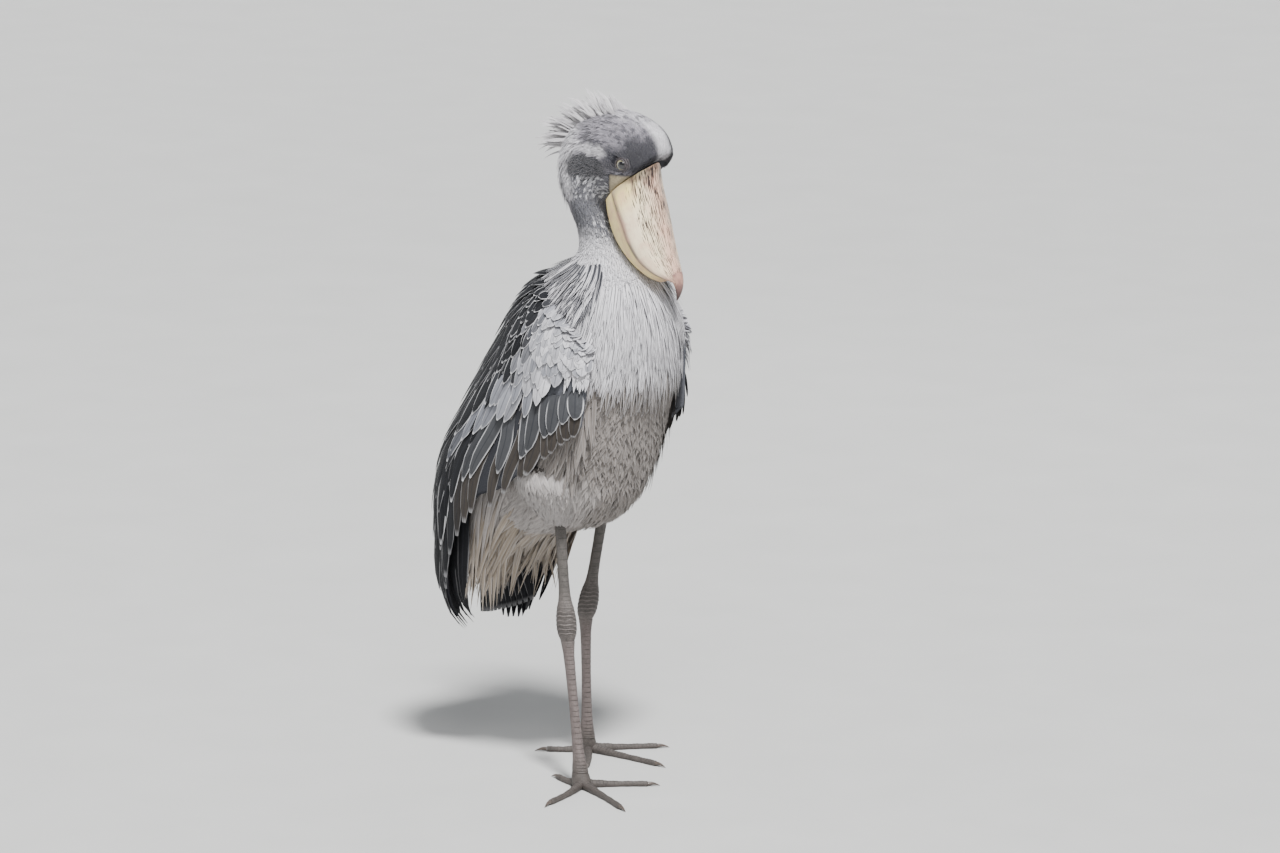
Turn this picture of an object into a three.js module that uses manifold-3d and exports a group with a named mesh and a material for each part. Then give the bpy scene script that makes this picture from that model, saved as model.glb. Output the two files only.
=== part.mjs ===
// Shoebill, a tall grey African wading bird, standing at rest with its great bill pointed down.
// Life size, in millimetres, +Z up. The bird faces +X, and its left side is +Y.
// The origin ends up on the floor, under the middle of the whole bird.
import * as THREE from 'three';
import { mergeVertices } from 'three/addons/utils/BufferGeometryUtils.js';
import Module from 'manifold-3d';

const wasm = await Module();
wasm.setup();

// Driving sizes
const GAP = 0.3;
const CLEAR = 1.2;
const HEAD_YAW = 8;
const EYE_HEIGHT = 1015;
const EYE_FORWARD = 88;
const EYE_SIDE = 42;
const EYE_RADIUS = 12;
const EYE_AHEAD = 4;
const EYE_DROP = 9;
const BILL_PITCH = 66;
const ANKLE_HEIGHT = 260;
const THIGH_END = 421;
const TARSUS_END = 26;

// Cross sections of head, neck and trunk, each in a plane square to the middle plane of the bird:
// back point x z, front point x z, half width, where between them it is widest, squareness, yaw.
const BODY = [
  [126.6, 1007, 52, 944, 47, 0.62, 2.3, 1],
  [143, 1024, 48, 943, 50, 0.58, 2.2, 1],
  [129, 1054, 45, 941, 52, 0.52, 2.2, 1],
  [99, 1073, 42.5, 938, 54, 0.48, 2.1, 1],
  [60, 1081, 41, 934, 55, 0.47, 2.1, 1],
  [15, 1072, 40.5, 929, 55, 0.47, 2.0, 1],
  [-25, 1050, 41.5, 922, 54, 0.47, 2.0, 1],
  [-48, 1010, 45, 914, 52, 0.48, 2.0, 0.95],
  [-50, 975, 51, 905, 50, 0.5, 2.0, 0.85],
  [-35, 935, 59, 895, 47, 0.5, 2.0, 0.7],
  [-18, 895, 67, 882, 44, 0.5, 2.0, 0.5],
  [-12, 862, 75, 868, 45, 0.5, 2.0, 0.3],
  [-20, 846, 90, 850, 52, 0.5, 2.0, 0.15],
  [-36, 832, 116, 818, 68, 0.5, 2.0, 0.05],
  [-58, 812, 132, 784, 90, 0.5, 2.0, 0],
  [-86, 784, 141, 740, 110, 0.5, 2.0, 0],
  [-112, 748, 139, 694, 122, 0.49, 2.0, 0],
  [-138, 702, 130, 650, 126, 0.48, 2.1, 0],
  [-166, 648, 115, 600, 125, 0.48, 2.2, 0],
  [-194, 588, 100, 550, 120, 0.48, 2.3, 0],
  [-218, 528, 84, 504, 112, 0.48, 2.3, 0],
  [-230, 480, 62, 458, 101, 0.48, 2.3, 0],
  [-234, 445, 12, 418, 92, 0.5, 2.2, 0],
  [-237, 415, -60, 397, 80, 0.5, 2.2, 0],
  [-238, 392, -130, 384, 64, 0.5, 2.2, 0],
  [-236, 380, -150, 374, 50, 0.5, 2.2, 0],
];
const NECK_START = 9;
const TORSO_START = 12;
const TORSO_END = 25;

// Cross sections of the cloak, the outer face of the folded wings, from shoulder to wing tip.
const CLOAK = [
  [-32, 850, 124, 828, 70, 0.5, 2.0, 0],
  [-66, 826, 146, 782, 100, 0.5, 2.0, 0],
  [-96, 798, 158, 740, 122, 0.49, 2.0, 0],
  [-124, 762, 160, 692, 135, 0.48, 2.0, 0],
  [-150, 714, 156, 650, 139, 0.48, 2.1, 0],
  [-182, 655, 148, 600, 140, 0.48, 2.4, 0],
  [-216, 590, 130, 545, 138, 0.47, 2.8, 0],
  [-254, 520, 100, 480, 138, 0.45, 3.1, 0],
  [-270, 450, 60, 420, 136, 0.48, 3.3, 0],
  [-276, 380, 0, 350, 130, 0.55, 3.3, 0],
  [-282, 310, -60, 290, 119, 0.6, 3.2, 0],
  [-270, 250, -110, 236, 100, 0.6, 3.0, 0],
  [-250, 212, -140, 205, 74, 0.6, 2.6, 0],
];

const radians = THREE.MathUtils.degToRad;
const mix = THREE.MathUtils.lerp;

// Smooth value of column c of a table of evenly spaced stations at place t
function smooth(table, t, c) {
  const last = table.length - 1;
  const i = Math.min(Math.max(Math.floor(t), 0), last - 1);
  const f = t - i;
  const a = table[Math.max(i - 1, 0)][c];
  const b = table[i][c];
  const d = table[i + 1][c];
  const e = table[Math.min(i + 2, last)][c];
  const m0 = (d - a) / 2;
  const m1 = (e - b) / 2;
  const f2 = f * f;
  const f3 = f2 * f;
  return (2 * f3 - 3 * f2 + 1) * b + (f3 - 2 * f2 + f) * m0 + (3 * f2 - 2 * f3) * d + (f3 - f2) * m1;
}

// Point of a lofted body at place t along it and angle theta round it, 0 at the back, 90 at the left
function skin(table, t, theta) {
  const [ux, uz, vx, vz, w, k, n, share] = [0, 1, 2, 3, 4, 5, 6, 7].map((c) => smooth(table, t, c));
  const cosine = Math.cos(radians(theta));
  const sine = Math.sin(radians(theta));
  const power = 2 / n;
  const reach = Math.abs(cosine) ** power;
  const across = Math.sign(sine) * Math.abs(sine) ** power * w;
  const cx = mix(ux, vx, k);
  const cz = mix(uz, vz, k);
  const forward = cosine >= 0 ? mix(cx, ux, reach) : mix(cx, vx, reach);
  const height = cosine >= 0 ? mix(cz, uz, reach) : mix(cz, vz, reach);
  const turn = radians(HEAD_YAW * share);
  return new THREE.Vector3(
    forward * Math.cos(turn) - across * Math.sin(turn),
    forward * Math.sin(turn) + across * Math.cos(turn),
    height,
  );
}

// Outward direction of a lofted body, from its change along and round
function outward(table, t, theta) {
  const step = 0.02;
  const low = Math.max(t - step, 0);
  const high = Math.min(t + step, table.length - 1);
  const along = skin(table, high, theta).sub(skin(table, low, theta));
  const round = skin(table, t, theta + 1).sub(skin(table, t, theta - 1));
  return round.cross(along).normalize();
}

function raised(table, t, theta, lift) {
  return skin(table, t, theta).addScaledVector(outward(table, t, theta), lift);
}

// Closed geometry from rings of points: the rings are joined in order and both ends are closed
function closedRings(rings) {
  const around = rings[0].length;
  const positions = rings.flat().flatMap((p) => [p.x, p.y, p.z]);
  const index = [];
  for (let i = 0; i < rings.length - 1; i += 1) {
    for (let j = 0; j < around; j += 1) {
      const next = (j + 1) % around;
      const a = i * around + j;
      const b = i * around + next;
      index.push(a, b, b + around, a, b + around, a + around);
    }
  }
  const ends = [[0, -1], [rings.length - 1, 1]];
  for (const [ring, facing] of ends) {
    const middle = rings[ring].reduce((sum, p) => sum.add(p), new THREE.Vector3()).divideScalar(around);
    const centre = positions.length / 3;
    positions.push(middle.x, middle.y, middle.z);
    for (let j = 0; j < around; j += 1) {
      const a = ring * around + j;
      const b = ring * around + (j + 1) % around;
      index.push(...(facing > 0 ? [a, b, centre] : [b, a, centre]));
    }
  }
  const geometry = new THREE.BufferGeometry();
  geometry.setAttribute('position', new THREE.Float32BufferAttribute(positions, 3));
  geometry.setIndex(index);
  return geometry;
}

// Closed plate between two like grids of points, one for each face, split into triangles alike
function closedPlate(outer, inner) {
  const rows = outer.length;
  const across = outer[0].length;
  const positions = [...outer.flat(), ...inner.flat()].flatMap((p) => [p.x, p.y, p.z]);
  const behind = rows * across;
  const index = [];
  const quad = (a, b, c, d) => index.push(a, b, c, a, c, d);
  for (let i = 0; i < rows - 1; i += 1) {
    for (let j = 0; j < across - 1; j += 1) {
      const a = i * across + j;
      const [b, c, d] = [a + 1, a + across + 1, a + across];
      index.push(a, b, c, a, c, d);
      index.push(a + behind, c + behind, b + behind, a + behind, d + behind, c + behind);
    }
    const left = i * across;
    const right = left + across - 1;
    quad(left, left + across, left + across + behind, left + behind);
    quad(right, right + behind, right + across + behind, right + across);
  }
  for (let j = 0; j < across - 1; j += 1) {
    const last = (rows - 1) * across + j;
    quad(j, j + behind, j + 1 + behind, j + 1);
    quad(last, last + 1, last + 1 + behind, last + behind);
  }
  const geometry = new THREE.BufferGeometry();
  geometry.setAttribute('position', new THREE.Float32BufferAttribute(positions, 3));
  geometry.setIndex(index);
  return solid(geometry);
}

// Seeded numbers from 0 to 1, so that every run gives the same bird
function seeded(seed) {
  let state = seed;
  return () => {
    state = (state * 1664525 + 1013904223) % 4294967296;
    return state / 4294967296;
  };
}

// One feather vane: a thin plate along a path, given its middle points, its flat direction and its width.
// An outline gives places along the vane, from root to tip, and the share of its half width at each.
const OUTLINES = {
  round: [[0, 0.65], [0.22, 0.95], [0.68, 1], [1, 0.36]],
  pointed: [[0, 0.75], [0.3, 1], [0.7, 0.74], [1, 0.08]],
};

function vane(points, sides, normals, half, thick, tilt, outline) {
  const upper = [];
  const lower = [];
  points.forEach((point, i) => {
    const share = outline[i][1];
    const wide = half * share;
    const place = (across, lift) => point.clone()
      .addScaledVector(sides[i], across * wide)
      .addScaledVector(normals[i], lift + across * tilt * share);
    upper.push([place(-1, thick / 2), place(1, thick / 2)]);
    lower.push([place(-1, -thick / 2), place(1, -thick / 2)]);
  });
  return closedPlate(upper, lower);
}

// A vane lying on a lofted body: its height above it at the root, where it comes clear, and at the tip
function surfaceVane(table, root, tip, { half, thick, lie, tilt, outline }) {
  const points = [];
  const sides = [];
  const normals = [];
  const [sunk, over, high] = lie;
  for (const [f] of outline) {
    const clear = outline[1][0];
    const height = f < clear ? sunk : mix(over, high, (f - clear) / (1 - clear));
    const t = mix(root[0], tip[0], f);
    const theta = mix(root[1], tip[1], f);
    const normal = outward(table, t, theta);
    const along = skin(table, t + 0.02 * (tip[0] - root[0]), theta + 0.02 * (tip[1] - root[1]));
    along.sub(skin(table, t - 0.02 * (tip[0] - root[0]), theta - 0.02 * (tip[1] - root[1]))).normalize();
    points.push(skin(table, t, theta).addScaledVector(normal, height));
    sides.push(normal.clone().cross(along).normalize());
    normals.push(normal);
  }
  return vane(points, sides, normals, half, thick, tilt, outline);
}

// Solid for cutting and joining, turned right side out if its faces point in
function solid(geometry) {
  const bare = geometry.clone();
  bare.deleteAttribute('normal');
  bare.deleteAttribute('uv');
  const merged = mergeVertices(bare, 1e-4);
  const points = merged.getAttribute('position').array;
  const found = merged.getIndex().array;
  const triangles = [];
  let volume = 0;
  const [a, b, c] = [new THREE.Vector3(), new THREE.Vector3(), new THREE.Vector3()];
  for (let i = 0; i < found.length; i += 3) {
    const [p, q, r] = [found[i], found[i + 1], found[i + 2]];
    if (p !== q && q !== r && r !== p) {
      triangles.push(p, q, r);
      a.fromArray(points, p * 3);
      b.fromArray(points, q * 3);
      c.fromArray(points, r * 3);
      volume += a.dot(b.cross(c));
    }
  }
  if (volume < 0) {
    for (let i = 0; i < triangles.length; i += 3) {
      [triangles[i], triangles[i + 1]] = [triangles[i + 1], triangles[i]];
    }
  }
  const mesh = new wasm.Mesh({
    numProp: 3, vertProperties: new Float32Array(points), triVerts: new Uint32Array(triangles),
  });
  return new wasm.Manifold(mesh);
}

function joined(...solids) {
  return solids.reduce((whole, piece) => whole.add(piece));
}

function without(whole, ...cuts) {
  return cuts.reduce((rest, cut) => rest.subtract(cut), whole);
}

// Geometry of the largest closed body of a solid
function largest(shape) {
  const bodies = shape.decompose();
  const body = bodies.reduce((best, next) => (next.volume() > best.volume() ? next : best));
  const mesh = body.getMesh();
  const geometry = new THREE.BufferGeometry();
  geometry.setAttribute('position', new THREE.Float32BufferAttribute(Array.from(mesh.vertProperties), 3));
  geometry.setIndex(Array.from(mesh.triVerts));
  return geometry;
}

// Even rings of a lofted body between two places along it
function bodyLoft(from, to, rows, around, lift = 0) {
  const rings = [];
  for (let i = 0; i <= rows; i += 1) {
    const t = mix(from, to, i / rows);
    const ring = [];
    for (let j = 0; j < around; j += 1) {
      ring.push(raised(BODY, t, (360 * j) / around, lift));
    }
    rings.push(ring);
  }
  return solid(closedRings(rings));
}

// Head frame: a runs out along the bill, u towards its top edge, l to the bird's left
const yaw = radians(HEAD_YAW);
const FORWARD = new THREE.Vector3(Math.cos(yaw), Math.sin(yaw), 0);
const LEFT = new THREE.Vector3(-Math.sin(yaw), Math.cos(yaw), 0);
const UP = new THREE.Vector3(0, 0, 1);
const pitch = radians(BILL_PITCH);
const ALONG = FORWARD.clone().multiplyScalar(Math.cos(pitch)).addScaledVector(UP, -Math.sin(pitch));
const TOP = FORWARD.clone().multiplyScalar(Math.sin(pitch)).addScaledVector(UP, Math.cos(pitch));
const BETWEEN_EYES = FORWARD.clone().multiplyScalar(EYE_FORWARD).addScaledVector(UP, EYE_HEIGHT);

function inHead(a, u, l) {
  return BETWEEN_EYES.clone().addScaledVector(ALONG, a).addScaledVector(TOP, u).addScaledVector(LEFT, l);
}

// Bill sections from base to tip: ridge a u, cutting edge a u l, bottom of lower jaw a u l
const BILL = [
  [23.4, 32, 43.6, -38, 47, 50.5, -62, 40],
  [52, 21, 68, -37, 50, 72, -67, 41],
  [86, 15, 98, -36, 50, 100, -70, 40],
  [122, 9, 126, -38, 48, 126, -68, 37],
  [160, 4, 158, -36, 41, 156, -60, 32],
  [192, 2, 184, -26, 30, 184, -45, 24],
  [214, -2, 203, -12, 15, 202, -28, 14],
];
const HOOK_TIP = [235, -21];

function billSection(t) {
  return [0, 1, 2, 3, 4, 5, 6, 7].map((c) => smooth(BILL, t, c));
}

// Upper bill: a narrow ridge, hollowed beside it, swelling to the cutting edges
function upperBill() {
  const rings = [];
  const rows = 13;
  const side = [[0, 0], [0.02, 0.12], [0.1, 0.26], [0.25, 0.56], [0.5, 0.86], [0.78, 1], [1, 1]];
  for (let i = 0; i <= rows; i += 1) {
    const t = (i / rows) * (BILL.length - 1);
    const [ka, ku, ea, eu, el] = billSection(t);
    const left = side.map(([down, out]) => inHead(mix(ka, ea, down), mix(ku, eu, down), el * out));
    const right = side.slice(1).map(([down, out]) => inHead(mix(ka, ea, down), mix(ku, eu, down), -el * out));
    rings.push([...left, ...right.reverse()]);
  }
  return solid(closedRings(rings));
}

// One nostril: a narrow slit beside the ridge, near the base of the upper bill
const NOSTRIL = { along: 44, up: 20.5, aside: 9.5, length: 9, depth: 2.4, width: 1.5 };

function nostril(side) {
  const geometry = new THREE.SphereGeometry(1, 10, 6);
  geometry.scale(NOSTRIL.length, NOSTRIL.width, NOSTRIL.depth);
  geometry.applyMatrix4(new THREE.Matrix4().makeBasis(ALONG, LEFT, TOP));
  const centre = inHead(NOSTRIL.along, NOSTRIL.up, side * NOSTRIL.aside);
  geometry.translate(centre.x, centre.y, centre.z);
  return solid(geometry);
}

// The nail at the tip of the upper bill, bent down over the lower one
function billHook() {
  const rings = [];
  const rows = 7;
  const around = 10;
  for (let i = 0; i <= rows; i += 1) {
    const f = i / rows;
    const a = mix(196, HOOK_TIP[0], f);
    const u = mix(-6, -7, f) - (Math.abs(HOOK_TIP[1]) - 7) * f ** 3;
    const deep = mix(8.5, 1.2, f ** 1.6);
    const wide = mix(13, 1, f ** 1.2);
    const ring = [];
    for (let j = 0; j < around; j += 1) {
      const angle = (2 * Math.PI * j) / around;
      ring.push(inHead(a + deep * Math.cos(angle) * 0.6 * f, u + deep * Math.cos(angle), wide * Math.sin(angle)));
    }
    rings.push(ring);
  }
  return solid(closedRings(rings));
}

// Lower bill: a broad shallow trough under the cutting edges of the upper one
function lowerBill() {
  const rings = [];
  const rows = 14;
  const end = BILL.length - 1.15;
  const drop = GAP + 0.1;
  for (let i = 0; i <= rows; i += 1) {
    const [, , ea, eu, el, ba, bu, bl] = billSection((i / rows) * end);
    const ring = [];
    const half = [[0, 1], [0.35, 1.0], [0.7, 0.97], [1, 0.9], [1.06, 0.6], [1.04, 0.3]];
    for (const [down, out] of half) {
      const wide = mix(el - 1.5, bl, Math.min(down, 1)) * out;
      ring.push(inHead(mix(ea, ba, down), mix(eu - drop, bu, down), wide));
    }
    for (const [down, out] of half.slice().reverse()) {
      const wide = mix(el - 1.5, bl, Math.min(down, 1)) * out;
      ring.push(inHead(mix(ea, ba, down), mix(eu - drop, bu, down), -wide));
    }
    rings.push(ring);
  }
  return solid(closedRings(rings));
}

// Column of level rings, for a leg: stations of x, y, height, half length and half width
function column(stations, rows, around, shape = () => 1) {
  const rings = [];
  const last = stations.length - 1;
  for (let i = 0; i <= rows; i += 1) {
    const t = (i / rows) * last;
    const [x, y, z, rx, ry] = [0, 1, 2, 3, 4].map((c) => smooth(stations, t, c));
    const ring = [];
    for (let j = 0; j < around; j += 1) {
      const angle = (2 * Math.PI * j) / around;
      const swell = shape(i / rows, angle);
      ring.push(new THREE.Vector3(x + rx * swell * Math.cos(angle), y + ry * swell * Math.sin(angle), z));
    }
    rings.push(ring);
  }
  return closedRings(rings);
}

// Each leg: where it leaves the feathers, its ankle, its foot, and the toes' headings and lengths
const LEGS = {
  right: {
    hip: [-26, -80, 520], knee: [-15, -60, THIGH_END], ankle: [5, -66, ANKLE_HEIGHT], foot: [45, -72, 0],
    toes: [['inner', 50, 125], ['middle', -20, 165], ['outer', -70, 135], ['hind', 170, 85]],
  },
  left: {
    hip: [-44, 80, 520], knee: [-38, 60, THIGH_END], ankle: [-72, 58, ANKLE_HEIGHT], foot: [-112, 95, 0],
    toes: [['inner', -45, 125], ['middle', 5, 165], ['outer', 55, 135], ['hind', 225, 85]],
  },
};

function thigh(leg) {
  const [hip, knee] = [leg.hip, leg.knee];
  const radii = [[0, 60], [0.25, 59], [0.5, 49], [0.7, 36], [0.88, 22], [1, 12.5]];
  const stations = radii.map(([f, r]) => [
    mix(hip[0], knee[0], f), mix(hip[1], knee[1], f), mix(hip[2], knee[2], f), r, r * 0.88,
  ]);
  return solid(column(stations, 10, 16));
}

// Bare lower thigh and the thick ankle joint
function shank(leg) {
  const [knee, ankle] = [leg.knee, leg.ankle];
  const radii = [[0, 9], [0.45, 8.3], [0.72, 9.5], [0.86, 14], [1, 16], [1.1, 14.5], [1.16, 11]];
  const stations = radii.map(([f, r]) => [
    mix(knee[0], ankle[0], f), mix(knee[1], ankle[1], f), mix(knee[2] - GAP, ankle[2], f), r * 1.06, r * 0.94,
  ]);
  return solid(column(stations, 14, 10));
}

// Lower end of the shank, where the tarsus takes over
function shankEnd(leg) {
  return [0, 1, 2].map((c) => mix(leg.knee[c] - (c === 2 ? GAP : 0), leg.ankle[c], 1.16));
}

// Raised plates down the front of a leg or along the top of a toe: each rises slowly and ends in a step
function plates(count, height, front) {
  return (f, angle) => {
    const facing = Math.max(Math.cos(angle - front), 0) ** 0.7;
    const step = (f * count) % 1;
    return 1 + height * facing * step;
  };
}

function tarsus(leg) {
  const [x0, y0, z0] = shankEnd(leg);
  const [x1, y1] = leg.foot;
  const end = TARSUS_END;
  const radii = [[0, 11], [0.12, 9], [0.35, 8.2], [0.6, 8.2], [0.85, 9.6], [1, 12.5]];
  const fraction = 1 - end / z0;
  const stations = radii.map(([f, r]) => [
    mix(x0, mix(x0, x1, fraction), f), mix(y0, mix(y0, y1, fraction), f), mix(z0 - GAP, end, f), r * 1.08, r * 0.95,
  ]);
  return solid(column(stations, 26, 8, plates(13, 0.1, 0)));
}

// Middle of the foot, from under the tarsus down to a small flat on the floor
function footHub(leg) {
  const [x0, y0, z0] = shankEnd(leg);
  const [x1, y1] = leg.foot;
  const fraction = 1 - TARSUS_END / z0;
  const [xt, yt] = [mix(x0, x1, fraction), mix(y0, y1, fraction)];
  const top = TARSUS_END - GAP;
  const stations = [
    [xt, yt, top, 13.4, 12], [mix(xt, x1, 0.5), mix(yt, y1, 0.5), 17, 15.5, 14],
    [x1, y1, 8, 16.5, 15], [x1, y1, 2, 14.5, 13], [x1, y1, 0, 12, 11],
  ];
  return solid(column(stations, 6, 12));
}

const CLAW = { length: 20, radius: 3.3 };

function toePoint(leg, heading, along, bend) {
  const direction = new THREE.Vector3(Math.cos(radians(heading)), Math.sin(radians(heading)), 0);
  const side = new THREE.Vector3(-direction.y, direction.x, 0);
  const centre = new THREE.Vector3(leg.foot[0], leg.foot[1], 0).addScaledVector(direction, along);
  return [centre.addScaledVector(side, bend), side];
}

// One toe, flat on the floor, with pads below and plates above
function toe(leg, heading, length) {
  const rings = [];
  const count = Math.round(length / 19);
  const rows = count * 2;
  const around = 6;
  const plate = plates(count, 0.16, Math.PI / 2);
  const reach = length - CLAW.length;
  for (let i = 0; i <= rows; i += 1) {
    const f = i / rows;
    const along = f * reach;
    const [centre, side] = toePoint(leg, heading, along, 3 * Math.sin(Math.PI * f));
    const pad = 1 + 0.1 * Math.sin(f * Math.PI * 5) ** 2;
    const radius = mix(8, 4.4, Math.min(f * 1.6, 1) ** 0.6) * pad;
    const height = mix(9, 3.8, Math.min(f * 2, 1) ** 0.5);
    const ring = [];
    for (let j = 0; j < around; j += 1) {
      const angle = (2 * Math.PI * (j + 0.5)) / around;
      const swell = plate(f, angle);
      const point = centre.clone().addScaledVector(side, radius * Math.cos(angle));
      point.z = Math.max(height + radius * swell * Math.sin(angle), 0);
      ring.push(point);
    }
    rings.push(ring);
  }
  return solid(closedRings(rings));
}

function claw(leg, heading, length) {
  const rings = [];
  const rows = 4;
  const around = 6;
  for (let i = 0; i <= rows; i += 1) {
    const f = i / rows;
    const along = length - CLAW.length + GAP + f * CLAW.length;
    const [centre, side] = toePoint(leg, heading, along, 0);
    const radius = mix(CLAW.radius, 0.5, f ** 1.4);
    const height = 4.2 + 1.2 * Math.sin(Math.PI * f) - 3.4 * f ** 1.5;
    const ring = [];
    for (let j = 0; j < around; j += 1) {
      const angle = (2 * Math.PI * (j + 0.5)) / around;
      const point = centre.clone().addScaledVector(side, radius * 0.8 * Math.cos(angle));
      point.z = Math.max(height + radius * Math.sin(angle), 0);
      ring.push(point);
    }
    rings.push(ring);
  }
  return solid(closedRings(rings));
}

// Head: eye balls in their sockets, ringed by lids
function eyeCentre(side, out = 0) {
  const middle = inHead(0, 0, side * (EYE_SIDE + out));
  return middle.addScaledVector(FORWARD, EYE_AHEAD).addScaledVector(UP, -EYE_DROP);
}

function ball(centre, radius, rows = 8, around = 12) {
  const geometry = new THREE.SphereGeometry(radius, around, rows);
  geometry.translate(centre.x, centre.y, centre.z);
  return solid(geometry);
}

// The lids: a ring round the eye, a little flattened, its middle this far out from the middle of the eye
const LID = { radius: 10.2, thick: 2.6, tall: 0.94, deep: 1.2, out: 7.5 };

function lidRing(side) {
  const geometry = new THREE.TorusGeometry(LID.radius, LID.thick, 6, 14);
  geometry.scale(1, LID.tall, LID.deep);
  geometry.rotateX(Math.PI / 2);
  geometry.rotateZ(radians(HEAD_YAW));
  const centre = eyeCentre(side, LID.out);
  geometry.translate(centre.x, centre.y, centre.z);
  return solid(geometry);
}

// The crest, feather by feather, from the crown back and up
const CREST = { from: 4.3, to: 6.8, count: 9, shortest: 39, longest: 72, steep: 108, flat: 174 };

function crestFeathers() {
  const random = seeded(7);
  const feathers = [];
  for (let i = 0; i < CREST.count; i += 1) {
    const g = i / (CREST.count - 1);
    const length = mix(CREST.shortest, CREST.longest, g ** 0.8) * mix(0.75, 1.05, random());
    const heading = radians(mix(CREST.steep, CREST.flat, g) + 10 * (random() - 0.5));
    const aside = (i % 2 ? 1 : -1) * mix(4, 13, random());
    const normal = outward(BODY, mix(CREST.from, CREST.to, g), aside);
    const root = skin(BODY, mix(CREST.from, CREST.to, g), aside).addScaledVector(normal, -6);
    const points = [];
    for (const [f] of OUTLINES.pointed) {
      const reach = f * (length + 6);
      const bend = heading + 0.25 * f;
      points.push(root.clone()
        .addScaledVector(FORWARD, reach * Math.cos(bend))
        .addScaledVector(UP, reach * Math.sin(bend))
        .addScaledVector(LEFT, 0.35 * aside * f));
    }
    const lean = new THREE.Vector3().copy(LEFT).addScaledVector(FORWARD, 0.5 * (random() - 0.5)).normalize();
    const along = points[points.length - 1].clone().sub(points[0]).normalize();
    const flat = lean.clone().cross(along).normalize();
    const side = along.clone().cross(flat).normalize();
    feathers.push(vane(points, points.map(() => side), points.map(() => flat), 4.2, 1.1, 0.5, OUTLINES.pointed));
  }
  return feathers;
}

// Where the wing lies on the cloak: q runs from the back edge to the front edge, p from top to tip
const WING_BACK = 2;
const WING_FRONT = 128;
const WING_END = [10.9, 11.5, 12, 12, 11.8, 9.6, 8.3, 7.0, 6.0, 5.4];
const WING_TOP = [1.3, 1.0, 0.9, 0.9, 1.0, 1.2, 1.5, 1.9, 2.3, 2.7];

const CORE_SHARE = 0.83;

function wingPlace(p, q) {
  const row = q * (WING_END.length - 1);
  const end = smooth(WING_END.map((v) => [v]), row, 0);
  const top = smooth(WING_TOP.map((v) => [v]), row, 0);
  return [mix(top, end, p), mix(WING_BACK, WING_FRONT, q)];
}

// Tiers of wing feathers: how many, their range of q and of p, how far each runs, its size, and its
// heights above the cloak at the root, where it comes out of the core, and at the tip
const TIERS = [
  { count: 5, q: [0.08, 0.46], tip: [0.64, 0.7], run: 0.17, half: 14, lie: [-2.5, 5, 9.8], seed: 11 },
  { count: 7, q: [0.5, 0.96], tip: [0.62, 0.7], run: 0.2, half: 12, lie: [-2.5, 5, 9.8], seed: 12 },
  { count: 8, q: [0.42, 0.97], tip: [0.84, 0.88], run: 0.22, half: 14, lie: [-2.5, 5, 7.2], seed: 13 },
  { count: 8, q: [0.44, 0.97], tip: [1, 1], run: 0.24, half: 14, lie: [0.1, 0.4, 2], seed: 14 },
  { count: 4, q: [0.06, 0.34], tip: [0.84, 0.84], run: 0.16, half: 13, lie: [-2.5, 5, 7.2], seed: 15 },
  { count: 5, q: [0.12, 0.42], tip: [1, 1], run: 0.26, half: 12, lie: [0.1, 0.4, 2], seed: 16, pointed: true },
];

function wingFeathers(side) {
  const feathers = [];
  for (const tier of TIERS) {
    const random = seeded(tier.seed);
    for (let i = 0; i < tier.count; i += 1) {
      const g = i / (tier.count - 1);
      const q = mix(tier.q[0], tier.q[1], g) + 0.006 * (random() - 0.5);
      const p = mix(tier.tip[0], tier.tip[1], g) - 0.03 * random();
      const [tipT, tipTheta] = wingPlace(Math.min(p, 0.995), q);
      const [rootT, rootTheta] = wingPlace(p - tier.run, q);
      feathers.push(surfaceVane(CLOAK, [rootT, side * (rootTheta - 1.5)], [tipT, side * (tipTheta + 1)], {
        half: tier.half * mix(0.94, 1.06, random()),
        thick: 1,
        lie: tier.lie,
        tilt: side * 2.4,
        outline: tier.pointed ? OUTLINES.pointed : OUTLINES.round,
      }));
    }
  }
  return feathers;
}

function wingShell(side, grow = 0) {
  const rows = 15;
  const across = 9;
  const outer = [];
  const inner = [];
  for (let i = 0; i <= rows; i += 1) {
    const p = i / rows;
    const outerRow = [];
    const innerRow = [];
    for (let j = 0; j <= across; j += 1) {
      const q = j / across;
      const [within, theta] = wingPlace(p * CORE_SHARE, q);
      const t = Math.min(within + grow * 0.03 * (p - 0.5), CLOAK.length - 1);
      const edge = Math.min(1, 6 * Math.min(q, 1 - q) + 0.25);
      const thick = mix(18, 4, Math.min(1, Math.max(0, (t - 4) / 5))) * edge + 1.5;
      const angle = side * (theta + grow * (q - 0.5));
      const lift = 3 * edge - 10 * Math.max(0, 1 - 7 * p);
      outerRow.push(raised(CLOAK, t, angle, lift + grow));
      innerRow.push(raised(CLOAK, t, angle, lift - thick - grow));
    }
    outer.push(outerRow);
    inner.push(innerRow);
  }
  return closedPlate(outer, inner);
}

// Tail: a thin root and eight long feathers that spread a little towards their tips
const TAIL = { x: -212, top: 392, end: 322, tip: 236, halfTop: 26, halfTip: 62, count: 8, bow: 10 };

function tailPoint(f, y) {
  const half = mix(TAIL.halfTop, TAIL.halfTip, f ** 0.8);
  const z = mix(TAIL.top, TAIL.tip + TAIL.bow * y * y, f);
  return new THREE.Vector3(TAIL.x + TAIL.bow * y * y, half * y, z);
}

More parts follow.
